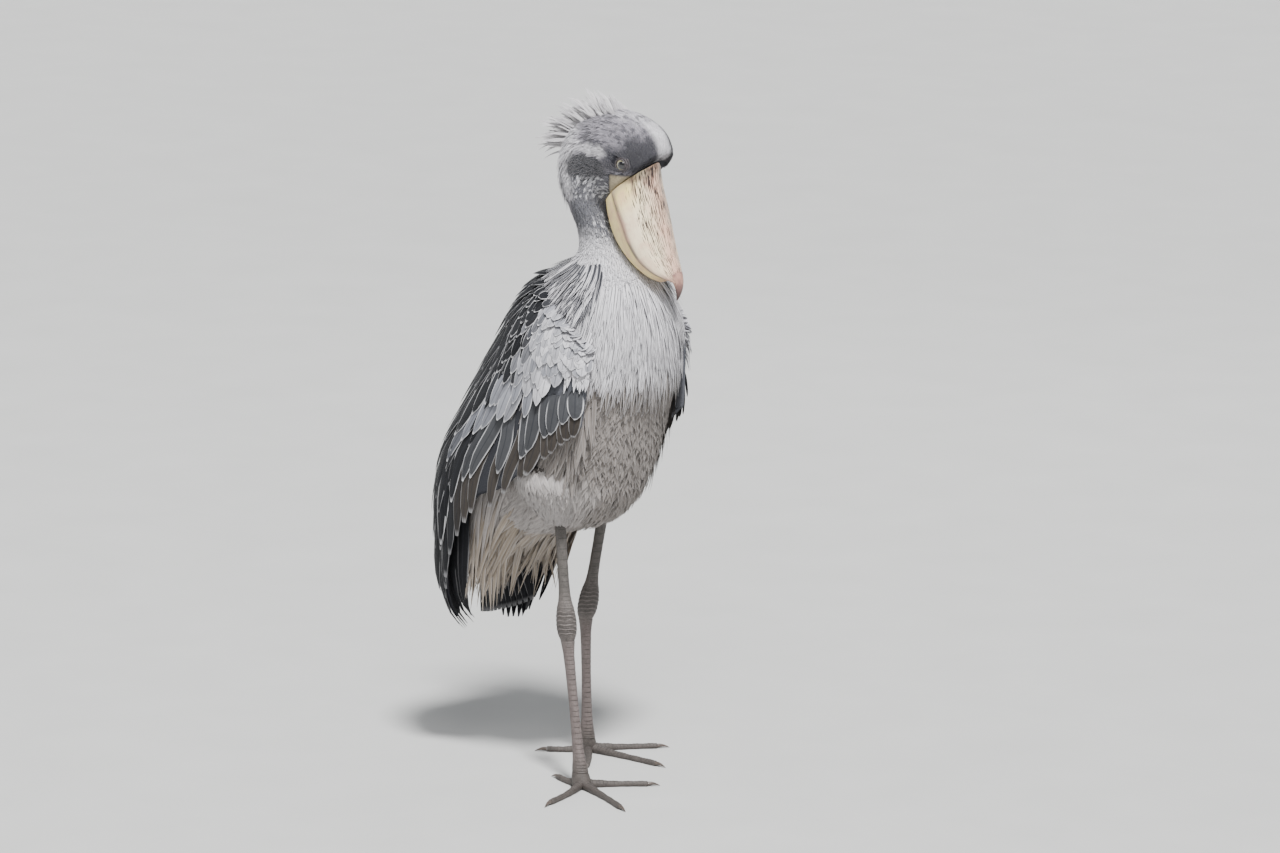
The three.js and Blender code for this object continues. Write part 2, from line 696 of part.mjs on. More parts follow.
function tailRoot(grow = 0) {
  const rows = 4;
  const across = 4;
  const share = (TAIL.top - TAIL.end) / (TAIL.top - TAIL.tip);
  const faces = [[], []];
  for (let i = 0; i <= rows; i += 1) {
    const f = (i / rows) * share;
    const thick = mix(7, 3.5, i / rows) + grow;
    faces.forEach((face, k) => {
      const row = [];
      for (let j = 0; j <= across; j += 1) {
        const point = tailPoint(f, ((2 * j) / across - 1) * 0.96);
        point.x += (k ? -1 : 1) * thick;
        row.push(point);
      }
      face.push(row);
    });
  }
  return closedPlate(...faces);
}

function tailFeathers(grow = 0) {
  const along = [0.28, 0.5, 0.82, 1];
  const back = new THREE.Vector3(-1, 0, 0);
  const across = new THREE.Vector3(0, 1, 0);
  const feathers = [];
  for (let i = 0; i < TAIL.count; i += 1) {
    const y = (2 * (i + 0.5)) / TAIL.count - 1;
    const points = along.map((f) => tailPoint(f, y * 0.9));
    const half = 12.5 + grow;
    feathers.push(vane(points, points.map(() => across), points.map(() => back), half, 1 + 2 * grow,
      2 * Math.sign(y), OUTLINES.round));
  }
  return feathers;
}

// Soft loose feathers in front of the tail: a short core with hanging locks round it
const COVERTS = { x: -172, count: 10, spread: 112, length: 92, half: 11 };

function undertail() {
  const stations = [
    [-168, 0, 402, 44, 55], [-170, 0, 372, 38, 54], [-174, 0, 345, 24, 42], [-178, 0, 324, 9, 24],
  ];
  const random = seeded(31);
  const locks = [];
  for (let i = 0; i < COVERTS.count; i += 1) {
    const g = i / (COVERTS.count - 1);
    const angle = radians(mix(-COVERTS.spread, COVERTS.spread, g));
    const normal = new THREE.Vector3(Math.cos(angle), Math.sin(angle), 0);
    const side = new THREE.Vector3(-normal.y, normal.x, 0);
    const length = COVERTS.length * mix(0.78, 1.1, random());
    const points = OUTLINES.pointed.map(([f]) => new THREE.Vector3(
      COVERTS.x - 6 * f + (41 - 15 * f) * normal.x,
      (55 - 16 * f) * normal.y,
      386 - length * f,
    ).addScaledVector(normal, f === 0 ? -6 : 1));
    locks.push(vane(points, points.map(() => side), points.map(() => normal), COVERTS.half, 1.4, 0.8,
      OUTLINES.pointed));
  }
  return joined(solid(column(stations, 4, 10)), ...locks);
}

// Long plumes of the breast, in three rows that hang down to a ragged fringe
const PLUMES = { rows: 3, across: 9, first: 12.9, step: 1.35, run: 2.1, side: 50, half: 8, rise: 8.5 };

function breastPlumes() {
  const random = seeded(21);
  const feathers = [];
  for (let row = 0; row < PLUMES.rows; row += 1) {
    for (let i = 0; i < PLUMES.across; i += 1) {
      const g = (i + (row % 2 ? 0.5 : 0)) / PLUMES.across;
      const theta = 180 + mix(-PLUMES.side, PLUMES.side, g) + 2.5 * (random() - 0.5);
      const root = PLUMES.first + row * PLUMES.step + 0.3 * random();
      const tip = root + PLUMES.run * mix(0.85, 1.1, random());
      feathers.push(surfaceVane(BODY, [root, theta], [tip, theta + 3 * (random() - 0.5)], {
        half: PLUMES.half * mix(0.85, 1.15, random()),
        thick: 1.1,
        lie: [-3, 3.5, PLUMES.rise * mix(0.9, 1.1, random())],
        tilt: 1.5,
        outline: OUTLINES.pointed,
      }));
    }
  }
  return feathers;
}

const PAINT = {
  plumage: new THREE.MeshStandardMaterial({ color: 0xb9b8ba, roughness: 0.9, metalness: 0 }),
  wing: new THREE.MeshStandardMaterial({ color: 0x66686e, roughness: 0.85, metalness: 0 }),
  quill: new THREE.MeshStandardMaterial({ color: 0x2b2c31, roughness: 0.8, metalness: 0 }),
  bill: new THREE.MeshStandardMaterial({ color: 0xdcc0a2, roughness: 0.5, metalness: 0 }),
  eye: new THREE.MeshStandardMaterial({ color: 0xc9c3a4, roughness: 0.1, metalness: 0 }),
  leg: new THREE.MeshStandardMaterial({ color: 0x8d857d, roughness: 0.7, metalness: 0 }),
  claw: new THREE.MeshStandardMaterial({ color: 0x4a443f, roughness: 0.5, metalness: 0 }),
};

const bird = new THREE.Group();

function place(name, shape, material) {
  const mesh = new THREE.Mesh(largest(shape), material);
  mesh.name = name;
  bird.add(mesh);
}

const SIDES = { right: -1, left: 1 };
const bodyGrown = bodyLoft(TORSO_START + 0.01, TORSO_END, 20, 24, GAP);

function makeHead() {
  const skull = bodyLoft(0, NECK_START, 20, 22);
  const lids = Object.values(SIDES).map((side) => lidRing(side));
  const sockets = Object.values(SIDES).map((side) => ball(eyeCentre(side), EYE_RADIUS + GAP));
  place('head', without(joined(skull, ...crestFeathers(), ...lids), ...sockets), PAINT.plumage);
}

function makeLegs(name, side) {
  const leg = LEGS[name];
  const above = [bodyGrown, wingShell(side, CLEAR)];
  place(`thigh_${name}`, without(thigh(leg), ...above), PAINT.plumage);
  place(`shank_${name}`, without(shank(leg), bodyGrown), PAINT.leg);
  place(`tarsus_${name}`, tarsus(leg), PAINT.leg);
  const toes = leg.toes.map(([, heading, length]) => toe(leg, heading, length));
  place(`foot_${name}`, joined(footHub(leg), ...toes), PAINT.leg);
  for (const [toeName, heading, length] of leg.toes) {
    place(`claw_${toeName}_${name}`, claw(leg, heading, length), PAINT.claw);
  }
}

makeHead();
const nostrils = Object.values(SIDES).map((side) => nostril(side));
place('bill_upper', without(joined(upperBill(), billHook()), ...nostrils), PAINT.bill);
place('bill_lower', without(lowerBill(), billHook()), PAINT.bill);
place('neck', bodyLoft(NECK_START + 0.01, TORSO_START - 0.01, 7, 22), PAINT.plumage);
const trunk = bodyLoft(TORSO_START, TORSO_END, 20, 24);
place('torso', joined(trunk, ...breastPlumes()), PAINT.plumage);
place('tail', without(joined(tailRoot(), ...tailFeathers()), bodyGrown), PAINT.quill);
const tailGrown = joined(tailRoot(CLEAR), ...tailFeathers(CLEAR));
place('undertail_coverts', without(undertail(), bodyGrown, tailGrown), PAINT.plumage);
for (const [name, side] of Object.entries(SIDES)) {
  place(`eye_${name}`, ball(eyeCentre(side), EYE_RADIUS), PAINT.eye);
  place(`wing_${name}`, without(joined(wingShell(side), ...wingFeathers(side)), bodyGrown), PAINT.wing);
  makeLegs(name, side);
}

const box = new THREE.Box3().setFromObject(bird);
const centre = box.getCenter(new THREE.Vector3());
bird.position.set(-centre.x, -centre.y, -box.min.z);
bird.updateMatrixWorld(true);

export default bird;
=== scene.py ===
"""Shoebill, a tall grey African wading bird, standing at rest with its great bill pointed down.

The bird is dressed round the frame: one skin, feathers as thin vanes in tiers, a horn bill, wet eyes,
scaly legs. Shapes are worked out in millimetres in the bird's own frame, where it faces +X and its left
is +Y, and are put into the meshes in metres, moved as the frame's eyes say."""
from collections import namedtuple

import bpy
import numpy as np
from bpy.props import FloatProperty, IntProperty
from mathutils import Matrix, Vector


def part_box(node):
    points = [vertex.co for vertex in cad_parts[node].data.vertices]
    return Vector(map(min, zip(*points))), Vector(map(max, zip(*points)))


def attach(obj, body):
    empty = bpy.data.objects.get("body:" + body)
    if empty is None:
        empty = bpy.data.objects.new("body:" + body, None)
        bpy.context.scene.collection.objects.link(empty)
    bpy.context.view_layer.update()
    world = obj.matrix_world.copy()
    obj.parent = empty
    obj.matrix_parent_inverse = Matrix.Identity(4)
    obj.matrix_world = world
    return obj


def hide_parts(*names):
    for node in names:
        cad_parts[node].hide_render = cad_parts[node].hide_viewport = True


bl_info = {
    "name": "Shoebill",
    "version": (1, 0, 0),
    "blender": (4, 5, 0),
    "location": "3D View > Sidebar > Shoebill",
    "description": "Dresses a standing shoebill with feathers, bill, eyes, legs and claws",
    "category": "Object",
}

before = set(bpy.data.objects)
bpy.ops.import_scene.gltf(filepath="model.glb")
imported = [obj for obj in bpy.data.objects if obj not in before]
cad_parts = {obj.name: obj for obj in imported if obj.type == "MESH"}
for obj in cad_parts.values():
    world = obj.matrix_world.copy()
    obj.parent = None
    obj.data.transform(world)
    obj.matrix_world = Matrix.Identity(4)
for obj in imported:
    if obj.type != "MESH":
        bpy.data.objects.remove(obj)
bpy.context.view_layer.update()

MM = 0.001
HEAD_YAW = 8
EYE_HEIGHT = 1015
EYE_FORWARD = 88
EYE_SIDE = 42
EYE_RADIUS = 12
EYE_AHEAD = 4
EYE_DROP = 9
BILL_PITCH = 66
ANKLE_HEIGHT = 260
THIGH_END = 421
TARSUS_END = 26
GAP = 0.3
SIDES = {"right": -1, "left": 1}

# Cross sections of head, neck and trunk: back point x z, front point x z, half width,
# where between them it is widest, squareness, share of the head's yaw.
BODY = np.array([
    [126.6, 1007, 52, 944, 47, 0.62, 2.3, 1],
    [143, 1024, 48, 943, 50, 0.58, 2.2, 1],
    [129, 1054, 45, 941, 52, 0.52, 2.2, 1],
    [99, 1073, 42.5, 938, 54, 0.48, 2.1, 1],
    [60, 1081, 41, 934, 55, 0.47, 2.1, 1],
    [15, 1072, 40.5, 929, 55, 0.47, 2.0, 1],
    [-25, 1050, 41.5, 922, 54, 0.47, 2.0, 1],
    [-48, 1010, 45, 914, 52, 0.48, 2.0, 0.95],
    [-50, 975, 51, 905, 50, 0.5, 2.0, 0.85],
    [-35, 935, 59, 895, 47, 0.5, 2.0, 0.7],
    [-18, 895, 67, 882, 44, 0.5, 2.0, 0.5],
    [-12, 862, 75, 868, 45, 0.5, 2.0, 0.3],
    [-20, 846, 90, 850, 52, 0.5, 2.0, 0.15],
    [-36, 832, 116, 818, 68, 0.5, 2.0, 0.05],
    [-58, 812, 132, 784, 90, 0.5, 2.0, 0],
    [-86, 784, 141, 740, 110, 0.5, 2.0, 0],
    [-112, 748, 139, 694, 122, 0.49, 2.0, 0],
    [-138, 702, 130, 650, 126, 0.48, 2.1, 0],
    [-166, 648, 115, 600, 125, 0.48, 2.2, 0],
    [-194, 588, 100, 550, 120, 0.48, 2.3, 0],
    [-218, 528, 84, 504, 112, 0.48, 2.3, 0],
    [-230, 480, 62, 458, 101, 0.48, 2.3, 0],
    [-234, 445, 12, 418, 92, 0.5, 2.2, 0],
    [-237, 415, -60, 397, 80, 0.5, 2.2, 0],
    [-238, 392, -130, 384, 64, 0.5, 2.2, 0],
    [-236, 380, -150, 374, 50, 0.5, 2.2, 0],
])

# Cross sections of the cloak, the outer face of the folded wings, from shoulder to wing tip
CLOAK = np.array([
    [-32, 850, 124, 828, 70, 0.5, 2.0, 0],
    [-66, 826, 146, 782, 100, 0.5, 2.0, 0],
    [-96, 798, 158, 740, 122, 0.49, 2.0, 0],
    [-124, 762, 160, 692, 135, 0.48, 2.0, 0],
    [-150, 714, 156, 650, 139, 0.48, 2.1, 0],
    [-182, 655, 148, 600, 140, 0.48, 2.4, 0],
    [-216, 590, 130, 545, 138, 0.47, 2.8, 0],
    [-254, 520, 100, 480, 138, 0.45, 3.1, 0],
    [-270, 450, 60, 420, 136, 0.48, 3.3, 0],
    [-276, 380, 0, 350, 130, 0.55, 3.3, 0],
    [-282, 310, -60, 290, 119, 0.6, 3.2, 0],
    [-270, 250, -110, 236, 100, 0.6, 3.0, 0],
    [-250, 212, -140, 205, 74, 0.6, 2.6, 0],
])

# Where the wing lies on the cloak: q runs from the back edge to the front edge, p from top to tip
WING_BACK = 2
WING_FRONT = 128
WING_TOP = np.array([[1.3], [1.0], [0.9], [0.9], [1.0], [1.2], [1.5], [1.9], [2.3], [2.7]])
WING_END = np.array([[10.9], [11.5], [12], [12], [11.8], [9.6], [8.3], [7.0], [6.0], [5.4]])

# Bill sections from base to tip: ridge a u, cutting edge a u l, bottom of lower jaw a u l
BILL = np.array([
    [23.4, 32, 43.6, -38, 47, 50.5, -62, 40],
    [52, 21, 68, -37, 50, 72, -67, 41],
    [86, 15, 98, -36, 50, 100, -70, 40],
    [122, 9, 126, -38, 48, 126, -68, 37],
    [160, 4, 158, -36, 41, 156, -60, 32],
    [192, 2, 184, -26, 30, 184, -45, 24],
    [214, -2, 203, -12, 15, 202, -28, 14],
])
HOOK_TIP = (235, -21)

# Each leg: hip, knee, ankle and foot, and the toes' headings and lengths
LEGS = {
    "right": {
        "hip": (-26, -80, 520), "knee": (-15, -60, THIGH_END), "ankle": (5, -66, ANKLE_HEIGHT),
        "foot": (45, -72, 0),
        "toes": (("inner", 50, 125), ("middle", -20, 165), ("outer", -70, 135), ("hind", 170, 85)),
    },
    "left": {
        "hip": (-44, 80, 520), "knee": (-38, 60, THIGH_END), "ankle": (-72, 58, ANKLE_HEIGHT),
        "foot": (-112, 95, 0),
        "toes": (("inner", -45, 125), ("middle", 5, 165), ("outer", 55, 135), ("hind", 225, 85)),
    },
}

COS_YAW, SIN_YAW = np.cos(np.radians(HEAD_YAW)), np.sin(np.radians(HEAD_YAW))
FORWARD = np.array([COS_YAW, SIN_YAW, 0])
LEFT = np.array([-SIN_YAW, COS_YAW, 0])
UP = np.array([0, 0, 1.0])
COS_PITCH, SIN_PITCH = np.cos(np.radians(BILL_PITCH)), np.sin(np.radians(BILL_PITCH))
ALONG = FORWARD * COS_PITCH - UP * SIN_PITCH
TOP = FORWARD * SIN_PITCH + UP * COS_PITCH
BETWEEN_EYES = FORWARD * EYE_FORWARD + UP * EYE_HEIGHT
FACE = BETWEEN_EYES + EYE_AHEAD * FORWARD - EYE_DROP * UP


def in_head(a, u, l):
    """Point a along the bill, u towards its top edge and l to the left of the middle between the eyes."""
    a, u, l = (np.asarray(v, float)[..., None] for v in (a, u, l))
    return BETWEEN_EYES + a * ALONG + u * TOP + l * LEFT


def eye_middle(side):
    """Middle of an eye ball."""
    return in_head(0, 0, side * EYE_SIDE) + EYE_AHEAD * FORWARD - EYE_DROP * UP


def frame_shift():
    """How far the frame's origin lies from the bird's own, from the right eye's place in both."""
    low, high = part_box("eye_right")
    middle = (np.array(low) + np.array(high)) / 2 / MM
    return middle - eye_middle(-1)


SHIFT = frame_shift() * np.array([1, 1, 0])


def mix(a, b, f):
    """Straight mix from a at f 0 to b at f 1."""
    return a + (b - a) * f


def unit(v):
    """Each vector divided by its own length."""
    return v / np.maximum(np.linalg.norm(v, axis=-1, keepdims=True), 1e-9)


def rise(low, high, x):
    """0 below low, 1 above high, and 3x2 - 2x3 between."""
    x = np.clip((x - low) / (high - low), 0, 1)
    return x * x * (3 - 2 * x)


def smooth(table, t):
    """Rows of an evenly spaced table at place t: a cubic through each pair of rows, whose slopes are
    half the step from the row before to the row after."""
    last = len(table) - 1
    t = np.asarray(t, float)
    i = np.clip(np.floor(t).astype(int), 0, last - 1)
    f = (t - i)[..., None]
    a, b = table[np.maximum(i - 1, 0)], table[i]
    d, e = table[i + 1], table[np.minimum(i + 2, last)]
    low, high = (d - a) / 2, (e - b) / 2
    cubic, square = f ** 3, f ** 2
    return ((2 * cubic - 3 * square + 1) * b + (cubic - 2 * square + f) * low
            + (3 * square - 2 * cubic) * d + (cubic - square) * high)


def loft(table, t, theta):
    """Point of a lofted body at place t and angle theta, 0 at the back and 90 at the left. Each section
    is a superellipse whose middle line runs from its back point to its front point."""
    t, theta = np.broadcast_arrays(np.asarray(t, float), np.asarray(theta, float))
    ux, uz, vx, vz, w, k, n, yaw = np.moveaxis(smooth(table, t), -1, 0)
    cosine, sine = np.cos(np.radians(theta)), np.sin(np.radians(theta))
    reach = np.abs(cosine) ** (2 / n)
    across = np.sign(sine) * np.abs(sine) ** (2 / n) * w
    cx, cz = mix(ux, vx, k), mix(uz, vz, k)
    forward = mix(cx, np.where(cosine >= 0, ux, vx), reach)
    height = mix(cz, np.where(cosine >= 0, uz, vz), reach)
    turn = np.radians(HEAD_YAW * yaw)
    return np.stack([forward * np.cos(turn) - across * np.sin(turn),
                     forward * np.sin(turn) + across * np.cos(turn), height], -1)


class Surface:
    """A surface place(t, r). Its outward side is the cross product of its change with r and its change
    with t, times turn, and steps are the small changes that these are measured over."""

    def __init__(self, place, turn=1, steps=(0.02, 1.0), span=None):
        self.place, self.turn, self.steps, self.span = place, turn, steps, span

    def facing(self, t, r):
        """Outward direction at t, r."""
        dt, dr = self.steps
        low, high = np.asarray(t) - dt, np.asarray(t) + dt
        if self.span:
            low, high = np.maximum(low, self.span[0]), np.minimum(high, self.span[1])
        along = self.place(high, r) - self.place(low, r)
        across = self.place(t, np.asarray(r) + dr) - self.place(t, np.asarray(r) - dr)
        return unit(np.cross(across, along)) * self.turn

    def raised(self, t, r, lift):
        """Point at t, r, moved outward by lift."""
        lift = np.asarray(lift, float)[..., None] if np.ndim(lift) else lift
        return self.place(t, r) + self.facing(t, r) * lift

    def area(self, t, r):
        """Area of the surface for one step of t times one step of r."""
        dt, dr = self.steps
        along = (self.place(t + dt, r) - self.place(t - dt, r)) / (2 * dt)
        across = (self.place(t, r + dr) - self.place(t, r - dr)) / (2 * dr)
        return np.linalg.norm(np.cross(across, along), axis=-1)


def wing_place(p, q):
    """Place t and angle on the cloak of wing place p, q: its top and end are smooth rows over q."""
    row = np.asarray(q) * (len(WING_END) - 1)
    top, end = smooth(WING_TOP, row)[..., 0], smooth(WING_END, row)[..., 0]
    return mix(top, end, p), mix(WING_BACK, WING_FRONT, q)


def wing_surface(side):
    """The outer face of one folded wing, as a surface of p and q."""
    def place(p, q):
        p, q = np.broadcast_arrays(np.asarray(p, float), np.asarray(q, float))
        t, theta = wing_place(p, np.clip(q, 0, 1))
        return loft(CLOAK, np.clip(t, 0, len(CLOAK) - 1), side * theta)
    return Surface(place, side, (0.004, 0.004))


body = Surface(lambda t, theta: loft(BODY, t, theta), span=(0, len(BODY) - 1))


def column_surface(stations):
    """A column of level ellipses: rows of x, y, height, half length, half width, smooth between."""
    table = np.array(stations, float)

    def place(t, angle):
        t, angle = np.broadcast_arrays(np.asarray(t, float), np.asarray(angle, float))
        x, y, z, rx, ry = np.moveaxis(smooth(table, t), -1, 0)
        angle = np.radians(angle)
        return np.stack([x + rx * np.cos(angle), y + ry * np.sin(angle), z], -1)
    return Surface(place, -1, (0.02, 1.0), (0, len(table) - 1))


THIGH_RADII = ((0, 60), (0.25, 59), (0.5, 49), (0.7, 36), (0.88, 22), (1, 12.5))


def thigh_surface(leg):
    """The feathered thigh, from inside the trunk down to the bare shank."""
    hip, knee = np.array(leg["hip"]), np.array(leg["knee"])
    return column_surface([[*mix(hip, knee, f), r, r * 0.88] for f, r in THIGH_RADII])


undertail = column_surface([[-168, 0, 402, 44, 55], [-170, 0, 372, 38, 54], [-174, 0, 345, 24, 42],
                            [-178, 0, 324, 9, 24]])


def scatter(surface, span, arc, count, seed):
    """Places spread evenly over part of a surface: two number sequences that never cluster, the places
    read off them from the running sum of the surface's area."""
    t = np.linspace(*span, 121)
    r = np.linspace(*arc, 121)
    area = surface.area(t[:, None], r[None, :]) + 1e-6
    down = np.cumsum(area.sum(1))
    down = (down - down[0]) / (down[-1] - down[0])
    across = np.cumsum(area, 1)
    across = (across - across[:, :1]) / (across[:, -1:] - across[:, :1])
    n = np.arange(count) + seed * 131.0
    u, v = (n * 0.7548776662) % 1, (n * 0.5698402909) % 1
    found = np.interp(u, down, t)
    row = np.clip(np.round((found - span[0]) / (span[1] - span[0]) * 120), 0, 120)
    flat = (across + np.arange(121)[:, None]).ravel()
    return found, np.interp(np.clip(v, 0.001, 0.999) + row, flat, np.tile(r, 121))


def build(name, points, faces, material, maps=None, tint=None, rim=None):
    """A mesh object that rides on the root: points in millimetres in the bird's frame, faces as arrays
    of three or four corners, maps as map places by point, tint as a colour for each point, rim as true
    for the points on a sharp edge."""
    mesh = bpy.data.meshes.new(name)
    places = ((np.asarray(points, float).reshape(-1, 3) + SHIFT) * MM).astype(np.float32)
    corners = np.concatenate([np.asarray(f).ravel() for f in faces]).astype(np.int32)
    sizes = np.concatenate([np.full(len(f), np.shape(f)[1]) for f in faces])
    starts = (np.cumsum(sizes) - sizes).astype(np.int32)
    mesh.vertices.add(len(places))
    mesh.vertices.foreach_set("co", places.ravel())
    mesh.loops.add(len(corners))
    mesh.loops.foreach_set("vertex_index", corners)
    mesh.polygons.add(len(sizes))
    mesh.polygons.foreach_set("loop_start", starts)
    mesh.update(calc_edges=True)
    for key, values in (maps or {}).items():
        layer = mesh.uv_layers.new(name=key)
        layer.data.foreach_set("uv", values.reshape(-1, 2)[corners].astype(np.float32).ravel())
    if tint is not None:
        paint(mesh, tint)
    mesh.shade_smooth()
    if rim is not None:
        ends = np.zeros(len(mesh.edges) * 2, np.int32)
        mesh.edges.foreach_get("vertices", ends)
        sharp = mesh.attributes.new("sharp_edge", "BOOLEAN", "EDGE")
        sharp.data.foreach_set("value", rim.ravel()[ends].reshape(-1, 2).all(1))
    thing = put(name, mesh)
    mesh.materials.append(material)
    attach(thing, "root")
    return thing


def paint(mesh, tint):
    """Stores one colour for each point as the attribute Tint, whose alpha is a share for the material."""
    layer = mesh.color_attributes.new("Tint", "FLOAT_COLOR", "POINT")
    layer.data.foreach_set("color", tint.reshape(-1, 4).astype(np.float32).ravel())


def grid_faces(rows, around):
    """Corners of the four-sided faces of a grid of points, closed round each row."""
    i, j = np.meshgrid(np.arange(rows - 1), np.arange(around), indexing="ij")
    nxt = (j + 1) % around
    quads = np.stack([i * around + j, i * around + nxt, (i + 1) * around + nxt, (i + 1) * around + j], -1)
    return quads.reshape(-1, 4)


def outward_faces(points, faces):
    """The faces as they are, or turned over if the solid that they close counts as less than nothing."""
    volume = 0.0
    for f in faces:
        corners = points[f]
        for k in range(1, f.shape[1] - 1):
            volume += np.einsum("ij,ij->", corners[:, 0], np.cross(corners[:, k], corners[:, k + 1]))
    return faces if volume > 0 else [f[:, ::-1] for f in faces]


def with_ends(grid):
    """Values of a grid as one list, followed by the means of its first and last rows."""
    return np.concatenate([grid.reshape(-1, grid.shape[-1]), grid[:1].mean(1), grid[-1:].mean(1)])


def tube(rings):
    """Points and outward faces of a closed tube through rings of points, closed round each end's middle."""
    rows, around = rings.shape[:2]
    quads = grid_faces(rows, around)
    points = with_ends(rings)
    j = np.arange(around)
    nxt, first, last = (j + 1) % around, rows * around, rows * around + 1
    caps = np.concatenate([np.stack([nxt, j, np.full(around, first)], -1),
                           np.stack([j, nxt, np.full(around, last)], -1) + [[(rows - 1) * around] * 2 + [0]]])
    return points, outward_faces(points, [quads, caps])


def gather(parts):
    """Several (points, faces) as one."""
    points, faces, start = [], [], 0
    for more, lists in parts:
        points.append(more)
        faces.extend(np.asarray(f) + start for f in lists)
        start += len(more)
    fours = [f for f in faces if f.shape[1] == 4]
    threes = [f for f in faces if f.shape[1] == 3]
    return np.concatenate(points), [np.concatenate(f) for f in (fours, threes) if f]


TIP = (0.6, 0.86, 1, 1, 0.97, 0.86, 0.62, 0.12)
LEAF = (0.5, 0.86, 1, 0.8, 0.16)
WISP = (0.9, 1, 0.92, 0.72, 0.45, 0.08)
LANCE = (0.45, 0.8, 1, 0.85, 0.5, 0.07)
BLADE = (0.6, 0.85, 1, 1, 0.96, 0.8, 0.3)
POINT = (0.6, 0.9, 1, 0.9, 0.72, 0.48, 0.1)


BAKE_MARGIN = 0.01
BAKE_PATCH = 0.003


class Plumage:
    """Feathers gathered for one piece. Each is a thin closed vane on a grid of rows by columns, whose
    upper and lower sides share their rim and stand apart by its thickness along the middle."""

    def __init__(self):
        self.points, self.quads, self.vane, self.bake, self.tint, self.rim = [], [], [], [], [], []
        self.total = 0

    def add(self, centre, normal, half, outline, tint, root, across=3, thick=0.5, cup=0.12, tilt=0.0):
        """Adds feathers. centre and normal are (feathers, rows, 3), half (feathers), root their places on
        the baking map. Point = centre + side x a x w + normal x (cup x (1 - a squared) + tilt x a) x w,
        where w is half x outline and a runs from -1 to 1 across."""
        count, rows = centre.shape[:2]
        along = unit(np.gradient(centre, axis=1))
        side = unit(np.cross(normal, along))
        normal = np.cross(along, side)
        a = np.linspace(-1, 1, across)
        share = np.interp(np.linspace(0, 1, rows), np.linspace(0, 1, len(outline)), outline)
        wide = np.asarray(half)[:, None] * share[None]
        shift = side[:, :, None] * (wide[..., None, None] * a[:, None])
        tilt = np.broadcast_to(tilt, count)[:, None, None]
        lift = wide[..., None] * (cup * (1 - a * a) + tilt * a)
        upper = centre[:, :, None] + shift + normal[:, :, None] * lift[..., None]
        inside = np.zeros((rows, across))
        inside[1:-1, 1:-1] = 1
        lower = upper - normal[:, :, None] * (thick * inside)[..., None]
        inner = lower[:, 1:-1, 1:-1].reshape(count, -1, 3)
        points = np.concatenate([upper.reshape(count, -1, 3), inner], 1)
        below = np.arange(rows * across).reshape(rows, across)
        below[1:-1, 1:-1] = rows * across + np.arange(inner.shape[1]).reshape(rows - 2, across - 2)
        quads = self.cells(np.arange(rows * across).reshape(rows, across))
        quads = np.concatenate([quads, self.cells(below)[:, ::-1]])
        each = points.shape[1]
        starts = self.total + np.arange(count)[:, None, None] * each
        self.quads.append((quads[None] + starts).reshape(-1, 4))
        self.points.append(points.reshape(-1, 3))
        v, u = np.meshgrid(np.linspace(0, 1, rows), (a + 1) / 2, indexing="ij")
        place = np.stack([u, v], -1)
        place = np.concatenate([place.reshape(-1, 2), place[1:-1, 1:-1].reshape(-1, 2)])
        self.vane.append(np.broadcast_to(place, (count, each, 2)).reshape(-1, 2))
        spot = BAKE_MARGIN + (1 - 2 * BAKE_MARGIN) * np.asarray(root)[:, None]
        self.bake.append((spot + BAKE_PATCH * (place - 0.5)[None]).reshape(-1, 2))
        self.tint.append(np.broadcast_to(tint[:, None], (count, each, 4)).reshape(-1, 4))
        edge = np.ones((rows, across), bool)
        edge[1:-1, 1:-1] = False
        edge = np.concatenate([edge.ravel(), np.zeros(inner.shape[1], bool)])
        self.rim.append(np.tile(edge, count))
        self.total += count * each

    @staticmethod
    def cells(grid):
        """Corners of each cell of a grid of point numbers, turned so that the upper side faces out."""
        return np.stack([grid[:-1, :-1], grid[1:, :-1], grid[1:, 1:], grid[:-1, 1:]], -1).reshape(-1, 4)

    def lay(self, surface, root, tip, half, lie, outline, colour, rows=5, span=None, bend=1.0, **shape):
        """Feathers on a surface from root to tip places, each (t, r), lie heights at root and tip."""
        f = np.linspace(0, 1, rows)
        t = mix(root[0][:, None], tip[0][:, None], f)
        r = mix(root[1][:, None], tip[1][:, None], f)
        place, normal = surface.place(t, r), surface.facing(t, r)
        lift = mix(np.asarray(lie[0])[..., None], np.asarray(lie[1])[..., None], f ** bend)
        centre = place + normal * np.broadcast_to(lift, t.shape)[..., None]
        span = span or ((root[0].min(), tip[0].max() + 1e-6), (root[1].min(), root[1].max() + 1e-6))
        at = np.stack([(root[1] - span[1][0]) / (span[1][1] - span[1][0]),
                       (root[0] - span[0][0]) / (span[0][1] - span[0][0])], -1)
        tint = colour(centre[:, rows // 2], root) if callable(colour) else np.tile(colour, (len(t), 1))
        self.add(centre, normal, half, outline, tint, np.clip(at, 0, 1), **shape)

    def finish(self, name, material, slot, *nodes):
        """Makes the piece, which stands for the named nodes."""
        thing = build(name, np.concatenate(self.points), [np.concatenate(self.quads)], material,
                      {"Vane": np.concatenate(self.vane), "OFBake": np.concatenate(self.bake)},
                      np.concatenate(self.tint), np.concatenate(self.rim))
        if nodes:
            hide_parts(*nodes)


def rgb(r, g, b):
    """A colour given as it looks on a screen, 0 to 255, as light."""
    c = np.array([r, g, b]) / 255
    return np.where(c <= 0.04045, c / 12.92, ((c + 0.055) / 1.055) ** 2.4)


